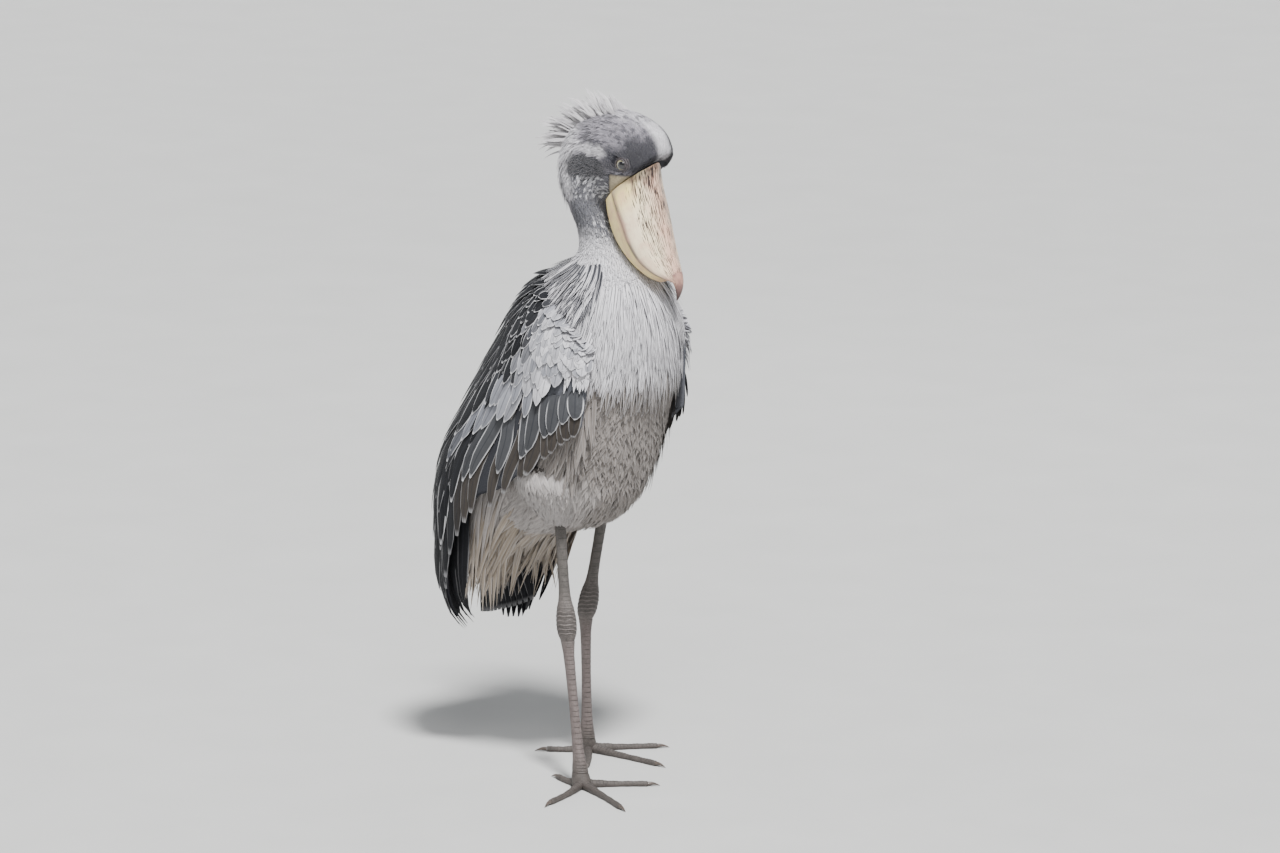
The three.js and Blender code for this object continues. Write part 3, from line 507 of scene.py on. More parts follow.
# Colours of the plumage. front is painted highlight: the pale, lit top and front of the head.
INK = {
    "crown": rgb(140, 136, 145), "brow": rgb(50, 50, 57), "front": rgb(222, 220, 224),
    "patch": rgb(58, 58, 62), "cheek": rgb(98, 98, 104), "streak": rgb(205, 204, 208),
    "nape": rgb(198, 196, 200), "jaw": rgb(90, 91, 97), "breast": rgb(218, 216, 220),
    "belly": rgb(136, 129, 124), "thigh": rgb(176, 170, 167), "back": rgb(62, 63, 70),
    "silver": rgb(126, 128, 136), "slate": rgb(68, 69, 72), "dark": rgb(50, 51, 58),
    "brown": rgb(64, 59, 55), "black": rgb(17, 18, 22), "wisp": rgb(208, 205, 206),
    "under": rgb(152, 140, 126), "bare": rgb(204, 190, 160),
}


def ripple(x, y, z):
    """Uneven value from -1 to 1 that changes over a few millimetres: a sum of turned waves."""
    return (np.sin(x * 0.31 + 1.7 * np.sin(z * 0.23)) + np.sin(y * 0.37 + 1.3 * np.sin(x * 0.19 + z * 0.29))
            + np.sin(z * 0.41 + 1.1 * np.sin(y * 0.27))) / 3


def bare_face(f, z):
    """How far in front of the feathers' edge a place f forward of the eyes and z above them lies: the
    edge runs from the corner of the mouth up to a corner below the eye and on level to the ridge."""
    return np.minimum(f + 22 - 0.26 * (z + 19), -17 - z)


def markings_and_highlight(point):
    """Colour of the plumage at a point of the bird, with painted highlight on the head. Over the grey of the
    crown, soft
    masks lay one patch after another: on the head by how far forward, up and sideways of FACE the point is,
    on the body by its height and how far forward it is. The pale top of the head and front of the forehead
    are painted highlight, as if lit from above and in front. A waving value breaks every edge."""
    near = point - FACE
    f, side, z = near @ FORWARD, np.abs(near @ LEFT), near @ UP
    wave = ripple(*np.moveaxis(point, -1, 0))
    bare = rise(-1, 4, bare_face(f, z)) * rise(-78, -68, z) * rise(20, 30, side)
    f, z = f + 5 * wave, z + 4 * wave

    edge = -17 - f
    fleck = rise(0.0, 0.5, ripple(point[..., 0] * 1.6, point[..., 1] * 1.9, point[..., 2] * 1.7))
    mottle = rise(0.05, 0.4, ripple(point[..., 0] * 2.2, point[..., 1] * 2.2, point[..., 2] * 2.6))
    height, forward = point[..., 2] + 8 * wave, point[..., 0]
    slope = forward - mix(-40.0, -100.0, rise(840, 720, point[..., 2]))
    patches = (
        # Painted highlight: the top of the head turns pale as if lit from above.
        ("front", rise(56, 76, z + 0.2 * f) * 0.75),
        ("brow", fleck * rise(6, 30, z) * 0.7),
        ("brow", rise(4, 20, f + z * 0.25) * rise(-26, -6, z) * rise(54, 32, z) * 0.97),
        ("brow", rise(32, 16, np.hypot(f * 0.75, (z - 5) * 1.15)) * 0.9),
        ("brow", rise(11, 4, np.abs(z - (15 + 0.45 * edge))) * rise(-82, -64, f) * rise(2, -10, f) * 0.85),
        # Painted highlight: the front of the forehead turns pale as if lit from the front.
        ("front", rise(22, 9, side) * rise(10, 24, f) * rise(-2, 14, z)),
        ("nape", rise(-72, -96, f + 0.25 * z) * rise(66, 40, z) * rise(-82, -50, z)),
        ("nape", rise(11, 5, np.abs(z - 21 - 0.1 * (-60 - f))) * rise(-20, -36, f) * 0.9),
        ("cheek", rise(-12, -24, z) * rise(-104, -88, f)),
        ("patch", rise(29, 18, np.hypot((f + 66) * 0.55, z + 10)) * rise(22, 34, side)),
        ("streak", mottle * (rise(24, 14, np.abs(z + 42)) * rise(-98, -84, f) * rise(-22, -36, f)) * 0.9),
        ("jaw", rise(-58, -72, z) * rise(-112, -98, f + z * 0.1) * 0.9),
        ("streak", mottle * rise(-74, -96, z) * rise(-150, -120, z) * rise(-76, -50, f) * 0.8),
        ("bare", bare),
        ("breast", rise(905, 868, height + 0.25 * (forward - 40))),
        ("back", rise(20, -20, slope) * rise(865, 832, height)),
        ("belly", rise(690, 655, height) * rise(-190, -150, forward)),
        ("thigh", rise(520, 480, height) * rise(36, 62, np.abs(point[..., 1])) * 0.7),
        ("under", rise(428, 398, height) * rise(-90, -130, forward)),
    )
    colour = np.zeros(point.shape) + INK["crown"]
    for name, share in patches:
        colour = mix(colour, INK[name], np.clip(share, 0, 1)[..., None])
    return colour


def feather_colour_and_highlight(seed, spread=0.12, alpha=1.0, name=None, second=None, share=None):
    """A colour rule for feathers: the markings with their painted highlights on the head, or a named ink
    mixed with a second, each feather a little lighter or darker than its neighbours."""
    def colour(point, root):
        rng = np.random.default_rng(seed)
        base = markings_and_highlight(point) if name is None else np.zeros(point.shape) + INK[name]
        if second is not None:
            base = mix(base, INK[second], np.clip(share(*root), 0, 1)[:, None])
        base = base * (1 + spread * rng.uniform(-1, 1, (len(point), 1)))
        return np.concatenate([np.clip(base, 0, 1), np.full((len(point), 1), alpha)], 1)
    return colour


class Finish:
    """A material's nodes, put together by short calls."""

    def __init__(self, name, **sockets):
        self.material = bpy.data.materials.new(name)
        self.material.use_nodes = True
        self.tree = self.material.node_tree
        self.shader = self.tree.nodes["Principled BSDF"]
        for socket, value in sockets.items():
            self.shader.inputs[socket.replace("_", " ")].default_value = value

    def node(self, kind, settings=None, **inputs):
        """A node with its settings, and its inputs linked or set."""
        made = self.tree.nodes.new("ShaderNode" + kind)
        for key, value in (settings or {}).items():
            setattr(made, key, value)
        for key, value in inputs.items():
            self.feed(made.inputs[key.replace("_", " ")], value)
        return made

    def feed(self, socket, value):
        """Links an output to a socket, or sets its value."""
        if isinstance(value, bpy.types.NodeSocket):
            self.tree.links.new(value, socket)
        else:
            socket.default_value = value

    def math(self, operation, *values):
        """One step of arithmetic."""
        made = self.tree.nodes.new("ShaderNodeMath")
        made.operation = operation
        for socket, value in zip(made.inputs, values):
            self.feed(socket, value)
        return made.outputs[0]

    def times(self, first, second):
        """The product of two."""
        return self.math("MULTIPLY", first, second)

    def spot(self):
        """Place in the object's own coordinates."""
        return self.node("TexCoord").outputs["Object"]

    def place(self, layer):
        """Place on one of the mesh's maps."""
        return self.node("UVMap", {"uv_map": layer}).outputs[0]

    def tint(self):
        """Colour and alpha of the points."""
        return self.node("Attribute", {"attribute_name": "Tint"}).outputs

    def shaded(self, colour, tone):
        """Colour made lighter or darker by a tone about 1."""
        grey = self.node("CombineColor", Red=tone, Green=tone, Blue=tone).outputs[0]
        return self.blend(1.0, colour, grey, "MULTIPLY")

    def step(self, value, low, high):
        """0 below low and 1 above high, smooth between."""
        made = self.node("MapRange", {"interpolation_type": "SMOOTHSTEP"}, Value=value)
        made.inputs["From Min"].default_value, made.inputs["From Max"].default_value = low, high
        return made.outputs["Result"]

    def blend(self, share, first, second, mode="MIX"):
        """Colour between two, by share."""
        made = self.tree.nodes.new("ShaderNodeMix")
        made.data_type, made.blend_type = "RGBA", mode
        self.feed(made.inputs[0], share)
        self.feed(made.inputs[6], first)
        self.feed(made.inputs[7], second)
        return made.outputs[2]

    def noise(self, where, scale, detail=3.0, stretch=None):
        """Soft noise, stretched along an axis if asked."""
        if stretch:
            where = self.node("Mapping", Vector=where, Scale=stretch).outputs[0]
        return self.node("TexNoise", Vector=where, Scale=scale, Detail=detail).outputs["Fac"]

    def end(self, colour, height=None, depth=0.0004, rough=None):
        """Joins the colour, bump and roughness to the shader."""
        self.feed(self.shader.inputs["Base Color"], colour)
        if rough is not None:
            self.feed(self.shader.inputs["Roughness"], rough)
        if height is not None:
            bump = self.node("Bump", Height=height, Distance=depth, Strength=0.6)
            self.feed(self.shader.inputs["Normal"], bump.outputs[0])
        return self.material


def ink(name, scale=1.0):
    """A named colour as a socket's four numbers."""
    return (*(INK[name] * scale), 1.0)


def vane_finish(name, fringe, fringe_share, shaft, shaft_share, rough, sheen, fringe_from=0.55, barbs=26.0,
                shaft_width=0.13):
    """Feather vane: the feather's own tint with a pale fringe round its rim and tip, a shaft down the
    middle, and fine barbs slanting out from it."""
    f = Finish(name, Roughness=rough, Sheen_Weight=sheen, Sheen_Roughness=0.5, Specular_IOR_Level=0.12)
    tint = f.tint()
    u, v, _ = f.node("SeparateXYZ", Vector=f.place("Vane")).outputs
    out = f.times(f.math("ABSOLUTE", f.math("SUBTRACT", u, 0.5)), 2.0)
    slant = f.math("SUBTRACT", f.times(v, barbs), f.times(out, barbs * 0.22))
    wave = f.math("SINE", f.times(slant, 6.283))
    cloud = f.noise(f.spot(), 90.0, 4.0)
    mottle = f.math("ADD", f.times(wave, 0.05), f.times(cloud, 0.36))
    base = f.shaded(tint["Color"], f.math("ADD", 0.82, mottle))
    edge = f.math("MAXIMUM", f.step(out, fringe_from, 0.97), f.step(v, 0.93, 0.99))
    edge = f.times(edge, f.step(v, 0.12, 0.45))
    base = f.blend(f.times(edge, f.times(tint["Alpha"], fringe_share)), base, fringe)
    line = f.times(f.step(out, shaft_width, shaft_width * 0.3), shaft_share)
    return f.end(f.blend(line, base, shaft), wave, 0.0002)


def skin_finish():
    """Skin and down between the feathers: the tint, mottled by one fine noise that also gives its bump."""
    f = Finish("down", Roughness=0.9, Sheen_Weight=0.04, Specular_IOR_Level=0.1)
    colour = f.tint()["Color"]
    fine = f.noise(f.spot(), 420.0, 5.0)
    # Painted shade: a tone from about 0.45 up darkens the tint further under the feathers, mottled by the
    # noise.
    return f.end(f.shaded(colour, f.math("ADD", 0.45, f.times(fine, 0.5))), fine, 0.002)


def horn_finish():
    """Bill horn: the tint of each place, dark dashes drawn along the bill and thickest near its ridge,
    fine growth lines and worn, uneven gloss."""
    f = Finish("bill_horn", Roughness=0.42, Coat_Weight=0.12, Coat_Roughness=0.3)
    tint, place = f.tint(), f.place("Horn")
    dash = f.noise(place, 1.0, 2.5, (10.0, 104.0, 1.0))
    patch = f.noise(place, 1.0, 2.0, (5.0, 9.0, 1.0))
    need = f.math("SUBTRACT", 0.77, f.times(tint["Alpha"], 0.275))
    need = f.math("SUBTRACT", need, f.times(f.math("SUBTRACT", patch, 0.5), 0.25))
    mark = f.step(f.math("SUBTRACT", dash, need), 0.0, 0.03)
    cloud = f.noise(f.spot(), 45.0, 5.0)
    warm = f.blend(f.step(cloud, 0.42, 0.68), tint["Color"], (*rgb(214, 168, 146), 1))
    base = f.blend(0.55, tint["Color"], warm)
    lines = f.noise(place, 1.0, 4.0, (9.0, 150.0, 1.0))
    base = f.blend(f.times(f.step(lines, 0.5, 0.72), 0.3), base, (*rgb(150, 118, 100), 1))
    base = f.blend(f.times(mark, 0.97), base, (*rgb(46, 34, 34), 1))
    height = f.math("ADD", f.times(lines, 0.6), f.times(cloud, 0.8))
    return f.end(base, height, 0.0012, f.math("ADD", 0.3, f.times(cloud, 0.28)))


def leg_finish():
    """Leg skin: the tint, mottled, with small scales, and dark seams and painted shade in the ankle's creases
    where the alpha says.
    """
    f = Finish("leg_skin", Roughness=0.62, Specular_IOR_Level=0.4)
    tint, spot = f.tint(), f.spot()
    scales = f.node("TexVoronoi", {"feature": "DISTANCE_TO_EDGE"}, Vector=spot, Scale=330.0)
    seam = f.step(scales.outputs["Distance"], 0.0, 0.14)
    cloud = f.noise(spot, 110.0, 5.0)
    base = f.shaded(tint["Color"], f.math("ADD", 0.2, f.math("ADD", f.times(seam, 0.2), f.times(cloud, 0.5))))
    base = f.blend(f.times(tint["Alpha"], 0.95), base, (*rgb(28, 24, 23), 1))
    return f.end(base, f.math("ADD", f.times(seam, 0.5), cloud), 0.0007)


def claw_finish():
    """Dark claw horn, mottled by a fine noise that also gives its bump."""
    f = Finish("claw_horn", Roughness=0.38, Coat_Weight=0.15)
    cloud = f.noise(f.spot(), 260.0, 5.0)
    return f.end(f.blend(cloud, (*rgb(38, 33, 32), 1), (*rgb(104, 92, 84), 1)), cloud, 0.0005)


def eye_finish():
    """Eye: black pupil, pale grey iris with fine rays and a dark rim, all read off the angle from the
    line of sight, under a wet coat."""
    f = Finish("eye", Roughness=0.12, Coat_Weight=1.0, Coat_Roughness=0.02, Specular_IOR_Level=0.6)
    place = f.place("Sight")
    angle, _, _ = f.node("SeparateXYZ", Vector=place).outputs
    rays = f.noise(place, 1.0, 3.0, (4.0, 70.0, 1.0))
    iris = f.blend(rays, (*rgb(104, 98, 76), 1), (*rgb(160, 154, 126), 1))
    iris = f.blend(f.step(angle, 0.215, 0.262), iris, (*rgb(70, 60, 44), 1))
    base = f.blend(f.step(angle, 0.16, 0.175), (0.004, 0.004, 0.005, 1), iris)
    base = f.blend(f.step(angle, 0.262, 0.285), base, (*rgb(22, 19, 18), 1))
    return f.end(base)


def lid_finish():
    """Bare skin of the lids, wrinkled round the eye."""
    f = Finish("lid", Roughness=0.55, Specular_IOR_Level=0.35)
    cloud = f.noise(f.spot(), 300.0, 5.0)
    return f.end(f.blend(cloud, (*rgb(38, 36, 38), 1), (*rgb(88, 82, 84), 1)), cloud, 0.0008)


def sliding(first, last, low, high):
    """A rule that runs from first to last as the place t goes from low to high."""
    return lambda t, r: mix(first, last, rise(low, high, t))


def speed_along(surface, t, r):
    """Millimetres of surface for one step of t."""
    step = surface.steps[0]
    return np.linalg.norm(surface.place(t + step, r) - surface.place(t - step, r), axis=-1) / (2 * step)


def grow(coat, surface, span, arc, count, seed, length, half, lie, outline, colour, keep=None, lean=0.0,
         reach=1.4, rows=4, **shape):
    """Feathers scattered over part of a surface, over span of t and arc of r. Each runs on along it by
    length, or by reach of t if that is less, and turns aside by up to lean. length, the half width and
    the height of the tip, second in lie, may be rules of the root's place."""
    t, r = scatter(surface, span, arc, count, seed)
    rng = np.random.default_rng(seed)
    if keep is not None:
        chosen = keep(surface.place(t, r))
        t, r = t[chosen], r[chosen]

    def drawn(rule, low, high):
        base = rule(t, r) if callable(rule) else np.full(len(t), float(rule))
        return base * rng.uniform(low, high, len(t))
    long, wide, high = drawn(length, 0.8, 1.18), drawn(half, 0.85, 1.15), drawn(lie[1], 0.75, 1.25)
    run = np.minimum(long / np.maximum(speed_along(surface, t, r), 1.0), reach)
    aside = lean * rng.uniform(-1, 1, len(t))
    low = np.full(len(t), float(lie[0]))
    coat.lay(surface, (t, r), (t + run, r + aside), wide, (low, high), outline, colour, rows=rows,
             span=(span, arc), **shape)


def feathered_face(point):
    """Which places of the head bear feathers: all but the rings of the eyes and the bare skin by the
    mouth, seen from the side."""
    near = point - FACE
    f, z = near @ FORWARD, near @ UP
    return (np.hypot(f, z) > EYE_RADIUS + 1.5) & ((bare_face(f, z) < 0) | (np.abs(near @ LEFT) < 25))


SKIN_DEPTH = 4.0
# Share of the plumage's colours left on the skin: painted shade, as the skin lies under the feathers.
SKIN_SHADE = 0.72


def make_skin(sizes):
    """One skin of head, neck, trunk, thighs and vent: their lofts run together by a voxel remesh, sunk
    by the depth of the coat, with the markings of the plumage darkened as painted shade under the feathers."""
    t, theta = np.linspace(0, len(BODY) - 1, 180), np.linspace(0, 360, 120, endpoint=False)
    sunk = mix(-1.6, -SKIN_DEPTH, rise(8, 13, t))[:, None] * np.ones(len(theta))
    parts = [tube(body.raised(t[:, None], theta[None, :], sunk))]
    angle = np.linspace(0, 360, 48, endpoint=False)
    for leg in LEGS.values():
        surface = thigh_surface(leg)
        f = np.linspace(0, 5, 60)
        sunk = -SKIN_DEPTH * rise(5.2, 3.4, f)[:, None] * np.ones(len(angle))
        parts.append(tube(surface.raised(f[:, None], angle[None, :], sunk)))
    f = np.linspace(0, 3, 40)
    parts.append(tube(undertail.raised(f[:, None], angle[None, :], -SKIN_DEPTH)))
    points, faces = gather(parts)
    thing = build("plumage_skin", points, faces, FINISH["down"])
    fused = thing.modifiers.new("fuse", "REMESH")
    fused.mode, fused.voxel_size, fused.use_smooth_shade = "VOXEL", sizes.skin_cell, True
    bpy.context.view_layer.update()
    mesh = bpy.data.meshes.new_from_object(thing.evaluated_get(bpy.context.evaluated_depsgraph_get()))
    thing.modifiers.clear()
    thing.data = mesh
    mesh.materials.clear()
    mesh.materials.append(FINISH["down"])
    place = np.zeros(len(mesh.vertices) * 3)
    mesh.vertices.foreach_get("co", place)
    # Painted shade: the skin takes the plumage's colours, darkened as if in shade under the coat.
    tint = markings_and_highlight(place.reshape(-1, 3) / MM - SHIFT) * SKIN_SHADE
    paint(mesh, np.concatenate([tint, np.ones((len(tint), 1))], 1))
    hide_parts("head", "neck", "torso", "thigh_right", "thigh_left", "undertail_coverts")


ALL_ROUND = (0, 360)


def make_head(sizes):
    """Face, crown and nape: the smallest feathers round the bill and eyes, longer towards the neck, with
    long ones down the nape."""
    def length(t, r):
        from_back = np.abs((r + 180) % 360 - 180)
        return mix(5.0, 16.0, rise(0.4, 5.5, t)) * mix(1.0, 0.75, rise(110, 160, from_back))
    for name, span, seed in (("face_feathers", (0.04, 3.4), 3), ("nape_feathers", (3.4, 9.3), 4)):
        coat = Plumage()
        grow(coat, body, span, ALL_ROUND, sizes.head_feathers, seed, length, half=sliding(1.0, 1.9, 0.4, 5.0),
             lie=(-1.4, sliding(0.8, 2.2, 1, 7)), outline=LEAF, colour=feather_colour_and_highlight(seed + 2, 0.2, 0.45),
             keep=feathered_face, lean=5.0, thick=0.25)
        if name == "nape_feathers":
            grow(coat, body, (3.4, 8.6), (-62, 62), sizes.head_feathers // 7, seed=8, length=23, half=1.7,
                 lie=(-1.2, sliding(3.0, 6.5, 4, 7)), outline=LANCE, colour=feather_colour_and_highlight(6, 0.16, 0.6), lean=8.0,
                 rows=5, thick=0.25)
        coat.finish(name, FINISH["soft_vane"], "face_feathers")


CREST = {"from": 4.3, "to": 6.8, "long": 14, "steep": 108, "flat": 174, "shortest": 39, "longest": 72}


def make_crest(sizes):
    """The shaggy crest: wisps from the crown, steep in front and level behind, each a bent thin vane
    whose heading turns with its place from front to back."""
    count = sizes.crest_wisps
    rng = np.random.default_rng(7)
    g = np.concatenate([np.linspace(0, 1, CREST["long"]), rng.uniform(0, 1, count - CREST["long"])])
    leading = np.arange(count) < CREST["long"]
    share = np.where(leading, rng.uniform(0.8, 1.04, count), rng.uniform(0.25, 0.8, count))
    length = mix(CREST["shortest"], CREST["longest"] + 12, g ** 0.8) * share
    heading = np.radians(mix(CREST["steep"], CREST["flat"], g) + rng.uniform(-2, 22, count))
    aside = rng.choice([-1, 1], count) * rng.uniform(2, 21, count) * np.where(leading, 0.55, 1)
    t = mix(CREST["from"], CREST["to"], g) + rng.uniform(-0.3, 0.3, count)
    root = body.raised(t, aside, np.full(count, -4.0))
    f = np.linspace(0, 1, 8)
    turn = heading[:, None] + 0.42 * f ** 1.6 * rng.uniform(0.2, 1.2, (count, 1))
    step = (length[:, None] + 5) / 7
    x = np.cumsum(np.cos(turn) * step, 1) - np.cos(turn[:, :1]) * step
    z = np.cumsum(np.sin(turn) * step, 1) - np.sin(turn[:, :1]) * step
    y = 0.34 * aside[:, None] * f + rng.uniform(-3, 3, (count, 1)) * f ** 2
    centre = root[:, None] + x[..., None] * FORWARD + z[..., None] * UP + y[..., None] * LEFT
    flat = unit(np.stack([np.sin(turn)] * 3, -1) * FORWARD - np.cos(turn)[..., None] * UP
                + LEFT * rng.uniform(-2.6, -0.8, (count, 1, 1)))
    pale = np.where(leading, 0.0, rng.uniform(0, 0.55, count))
    colour = feather_colour_and_highlight(9, 0.1, 1.0, "wisp", "crown", lambda *_: pale)(centre[:, 3], (0, 0))
    half = np.where(leading, rng.uniform(3.0, 4.4, count), rng.uniform(1.8, 3.4, count))
    coat = Plumage()
    coat.add(centre, flat, half, WISP, colour, np.stack([aside / 44 + 0.5, g], -1), thick=0.3, cup=0.2)
    coat.finish("crest", FINISH["wisp"], "face_feathers")


def make_neck(sizes):
    """Neck and shoulders: pale pointed feathers lying down towards the breast, and a streaky shawl of
    long loose ones, light or dark, over the shoulders."""
    coat = Plumage()
    grow(coat, body, (8.8, 13.2), ALL_ROUND, sizes.neck_feathers, seed=13, length=sliding(15, 27, 9, 13),
         half=sliding(2.0, 3.6, 9, 13), lie=(-2.2, sliding(1.4, 3.4, 9, 13)), outline=LEAF,
         colour=feather_colour_and_highlight(14, 0.12, 0.45), lean=3.0, rows=5, thick=0.3)
    rng = np.random.default_rng(19)

    def streaky(point, _):
        base = mix(INK["breast"], INK["back"], (rng.random((len(point), 1)) < 0.55) * 1.0)
        base = base * rng.uniform(0.8, 1.1, base[:, :1].shape)
        return np.concatenate([base, np.full((len(point), 1), 0.8)], 1)
    grow(coat, body, (11.7, 13.5), (-118, 118), sizes.neck_feathers // 5, seed=17, length=58, half=3.2,
         lie=(-2.5, 15), outline=LANCE, colour=streaky, lean=9.0, rows=6, thick=0.35, reach=2.2)
    coat.finish("neck_feathers", FINISH["plume"], "neck_feathers")


def make_trunk(sizes):
    """Breast, flanks, belly and back: narrow soft feathers, fluffier and warmer towards the belly, and
    long plumes that hang over the edge of each folded wing."""
    for name, span, seed in (("back_feathers", (12.4, 18.2), 23), ("belly_feathers", (18.2, 24.6), 24)):
        coat = Plumage()
        grow(coat, body, span, ALL_ROUND, sizes.trunk_feathers, seed, length=sliding(30, 44, 15, 21),
             half=sliding(3.6, 4.4, 15, 21), lie=(-3.4, sliding(3.0, 7.4, 15, 21)), outline=LANCE,
             colour=feather_colour_and_highlight(seed + 2, 0.17, 0.5), lean=11.0, rows=5, thick=0.3, reach=2.0)
        coat.finish(name, FINISH["soft_vane"], "body_feathers")
    coat = Plumage()
    for side in SIDES.values():
        grow(coat, body, (16.6, 19.6), (side * 96 - 40, side * 96 + 40), sizes.trunk_feathers // 12, seed=27,
             length=84, half=4.2, lie=(-2.0, 17), outline=LANCE, colour=feather_colour_and_highlight(28, 0.15, 0.5), lean=8.0, rows=7,
             thick=0.3, reach=2.4)
    coat.finish("flank_plumes", FINISH["soft_vane"], "body_feathers")


PLUMES = {"span": (12.6, 16.3), "arc": (100, 260), "hem": 17.7}


def make_plumes(sizes):
    """Long lance-shaped plumes of the breast, in rows that hang to a ragged fringe."""
    coat = Plumage()
    rng = np.random.default_rng(21)
    count, span, arc = sizes.breast_plumes, PLUMES["span"], PLUMES["arc"]
    t, r = scatter(body, span, arc, count, 22)
    hem = PLUMES["hem"] - 0.5 * np.abs(r - 180) / 80
    run = rng.uniform(50, 96, count) / speed_along(body, t, r)
    run = np.minimum(run, hem - t + rng.uniform(-0.6, 0.35, count))
    aside = r + rng.uniform(-4, 4, count) - 0.05 * (r - 180)
    coat.lay(body, (t, r), (t + np.maximum(run, 0.6), aside), rng.uniform(2.6, 4.6, count),
             (np.full(count, -2.5), rng.uniform(5.0, 14.0, count)), LANCE, feather_colour_and_highlight(25, 0.16, 0.75), rows=7,
             span=(span, arc), bend=0.8, thick=0.35, cup=0.3)
    coat.finish("breast_plumes", FINISH["plume"], "body_feathers")


def make_thighs(sizes):
    """Fluffy pale feathers of the thighs, down to a loose edge above the bare shank."""
    coat = Plumage()
    for seed, leg in enumerate(LEGS.values()):
        grow(coat, thigh_surface(leg), (0.2, 4.8), ALL_ROUND, sizes.thigh_feathers, 33 + seed,
             length=sliding(34, 15, 2.5, 4.8), half=sliding(3.6, 2.0, 2.5, 4.8),
             lie=(-2.0, sliding(8.5, 2.2, 3, 4.8)), outline=LANCE, colour=feather_colour_and_highlight(35, 0.12, 0.75, "thigh"),
             lean=14.0, rows=5, thick=0.3, reach=1.1)
    coat.finish("thigh_feathers", FINISH["soft_vane"], "body_feathers")


def make_undertail(sizes):
    """Loose beige plumes before the tail: they hang from the vent, bend in and end in soft points."""
    rng = np.random.default_rng(31)
    count = sizes.undertail_plumes
    t, theta = scatter(body, (20.0, 24.97), (0, 360), count, 32)
    start = body.raised(t, theta, np.full(count, -3.0))
    angle = np.arctan2(start[:, 1] / 66, (start[:, 0] + 172) / 52) + rng.uniform(-0.45, 0.45, count)
    deep = np.clip(np.hypot(start[:, 1] / 64, (start[:, 0] + 172) / 64), 0.15, 1)
    low = 386 - 126 * rng.uniform(0.25, 1.05, count) * rise(-30, -120, start[:, 0])
    end = np.stack([-184 + 38 * deep * np.cos(angle), 102 * deep * np.sin(angle), low], -1)
    reach = np.linalg.norm(end - start, axis=1)
    end = start + (end - start) * np.minimum(1, rng.uniform(90, 205, count) / reach)[:, None]
    facing = body.facing(t, theta)
    bow = start + facing * 11 + (end - start) * [[0.45, 0.45, 0.3]]
    f = np.linspace(0, 1, 8)[:, None]
    centre = (start[:, None] * (1 - f) ** 2 + 2 * bow[:, None] * f * (1 - f) + end[:, None] * f ** 2)
    centre[..., 0] = np.maximum(centre[..., 0], mix(-205, -232, rise(62, 82, np.abs(centre[..., 1]))))
    out = unit(facing + unit(np.stack([np.cos(angle), np.sin(angle), 0 * angle], -1)))[:, None]
    coat = Plumage()
    root = np.stack([theta / 360, (t - 20.0) / 5.0], -1)
    coat.add(centre, np.broadcast_to(out, centre.shape), rng.uniform(3.2, 6.8, count), LANCE,
             feather_colour_and_highlight(32, 0.2, 0.6)(centre[:, 4], None), root, thick=0.35, cup=0.3)
    coat.finish("undertail_plumes", FINISH["soft_vane"], "body_feathers")


def plate(outer, inner):
    """Points and faces of a closed plate between two like grids."""
    rows, across = outer.shape[:2]
    under = rows * across
    top = Plumage.cells(np.arange(under).reshape(rows, across))
    low = top[:, ::-1] + under
    ring = np.concatenate([np.arange(across), np.arange(1, rows) * across + across - 1,
                           under - 2 - np.arange(across - 1), np.arange(rows - 2, 0, -1) * across])
    nxt = np.roll(ring, -1)
    wall = np.stack([ring, nxt, nxt + under, ring + under], -1)
    return np.concatenate([outer.reshape(-1, 3), inner.reshape(-1, 3)]), [np.concatenate([top, low, wall])]


# A tier of a wing: rows of feathers, how many in each, their range of q, tip p of first and last row,
# how much higher the tips lie towards the front, run of p from root to tip, half width, heights at
# root and tip, ink, share of fringe, shape
Tier = namedtuple("Tier", "rows count q tip slant run half lie ink fringe outline")
TIERS = {
    "mantle": Tier(11, 9, (0.01, 0.6), (0.06, 0.74), 0.0, 0.15, 8.0, (-1, 9.5), "black", 0.4, LANCE),
    "lesser": Tier(8, 13, (0.5, 0.985), (0.07, 0.46), 0.2, 0.15, 8.6, (0, 9.0), "silver", 0.9, TIP),
    "median": Tier(2, 13, (0.46, 0.98), (0.53, 0.62), 0.28, 0.18, 9.6, (0.5, 9.2), "silver", 0.95, TIP),
    "greater": Tier(1, 12, (0.48, 0.98), (0.85, 0.85), 0.05, 0.28, 11.8, (0, 6.8), "slate", 0.75, TIP),
    "inner": Tier(1, 7, (0.45, 0.63), (1.0, 1.36), 0.0, 0.45, 12.0, (-14, -20.0), "black", 0.2, POINT),
    "tertials": Tier(2, 7, (0.02, 0.5), (0.74, 0.86), 0.0, 0.24, 12.0, (-0.5, 6.6), "black", 0.4, TIP),
    "secondaries": Tier(1, 15, (0.5, 0.985), (0.995, 0.995), 0.0, 0.36, 11.5, (-1.5, 2.6), "brown", 0.32,
                        BLADE),
    "primaries": Tier(2, 9, (0.01, 0.53), (0.94, 0.998), 0.0, 0.34, 11.5, (-1.5, 3.0), "black", 0.2, POINT),
    "edge": Tier(14, 4, (0.88, 1.0), (0.1, 0.54), 0.0, 0.24, 3.9, (-4.5, 6.5), "breast", 0.7, LANCE),
}


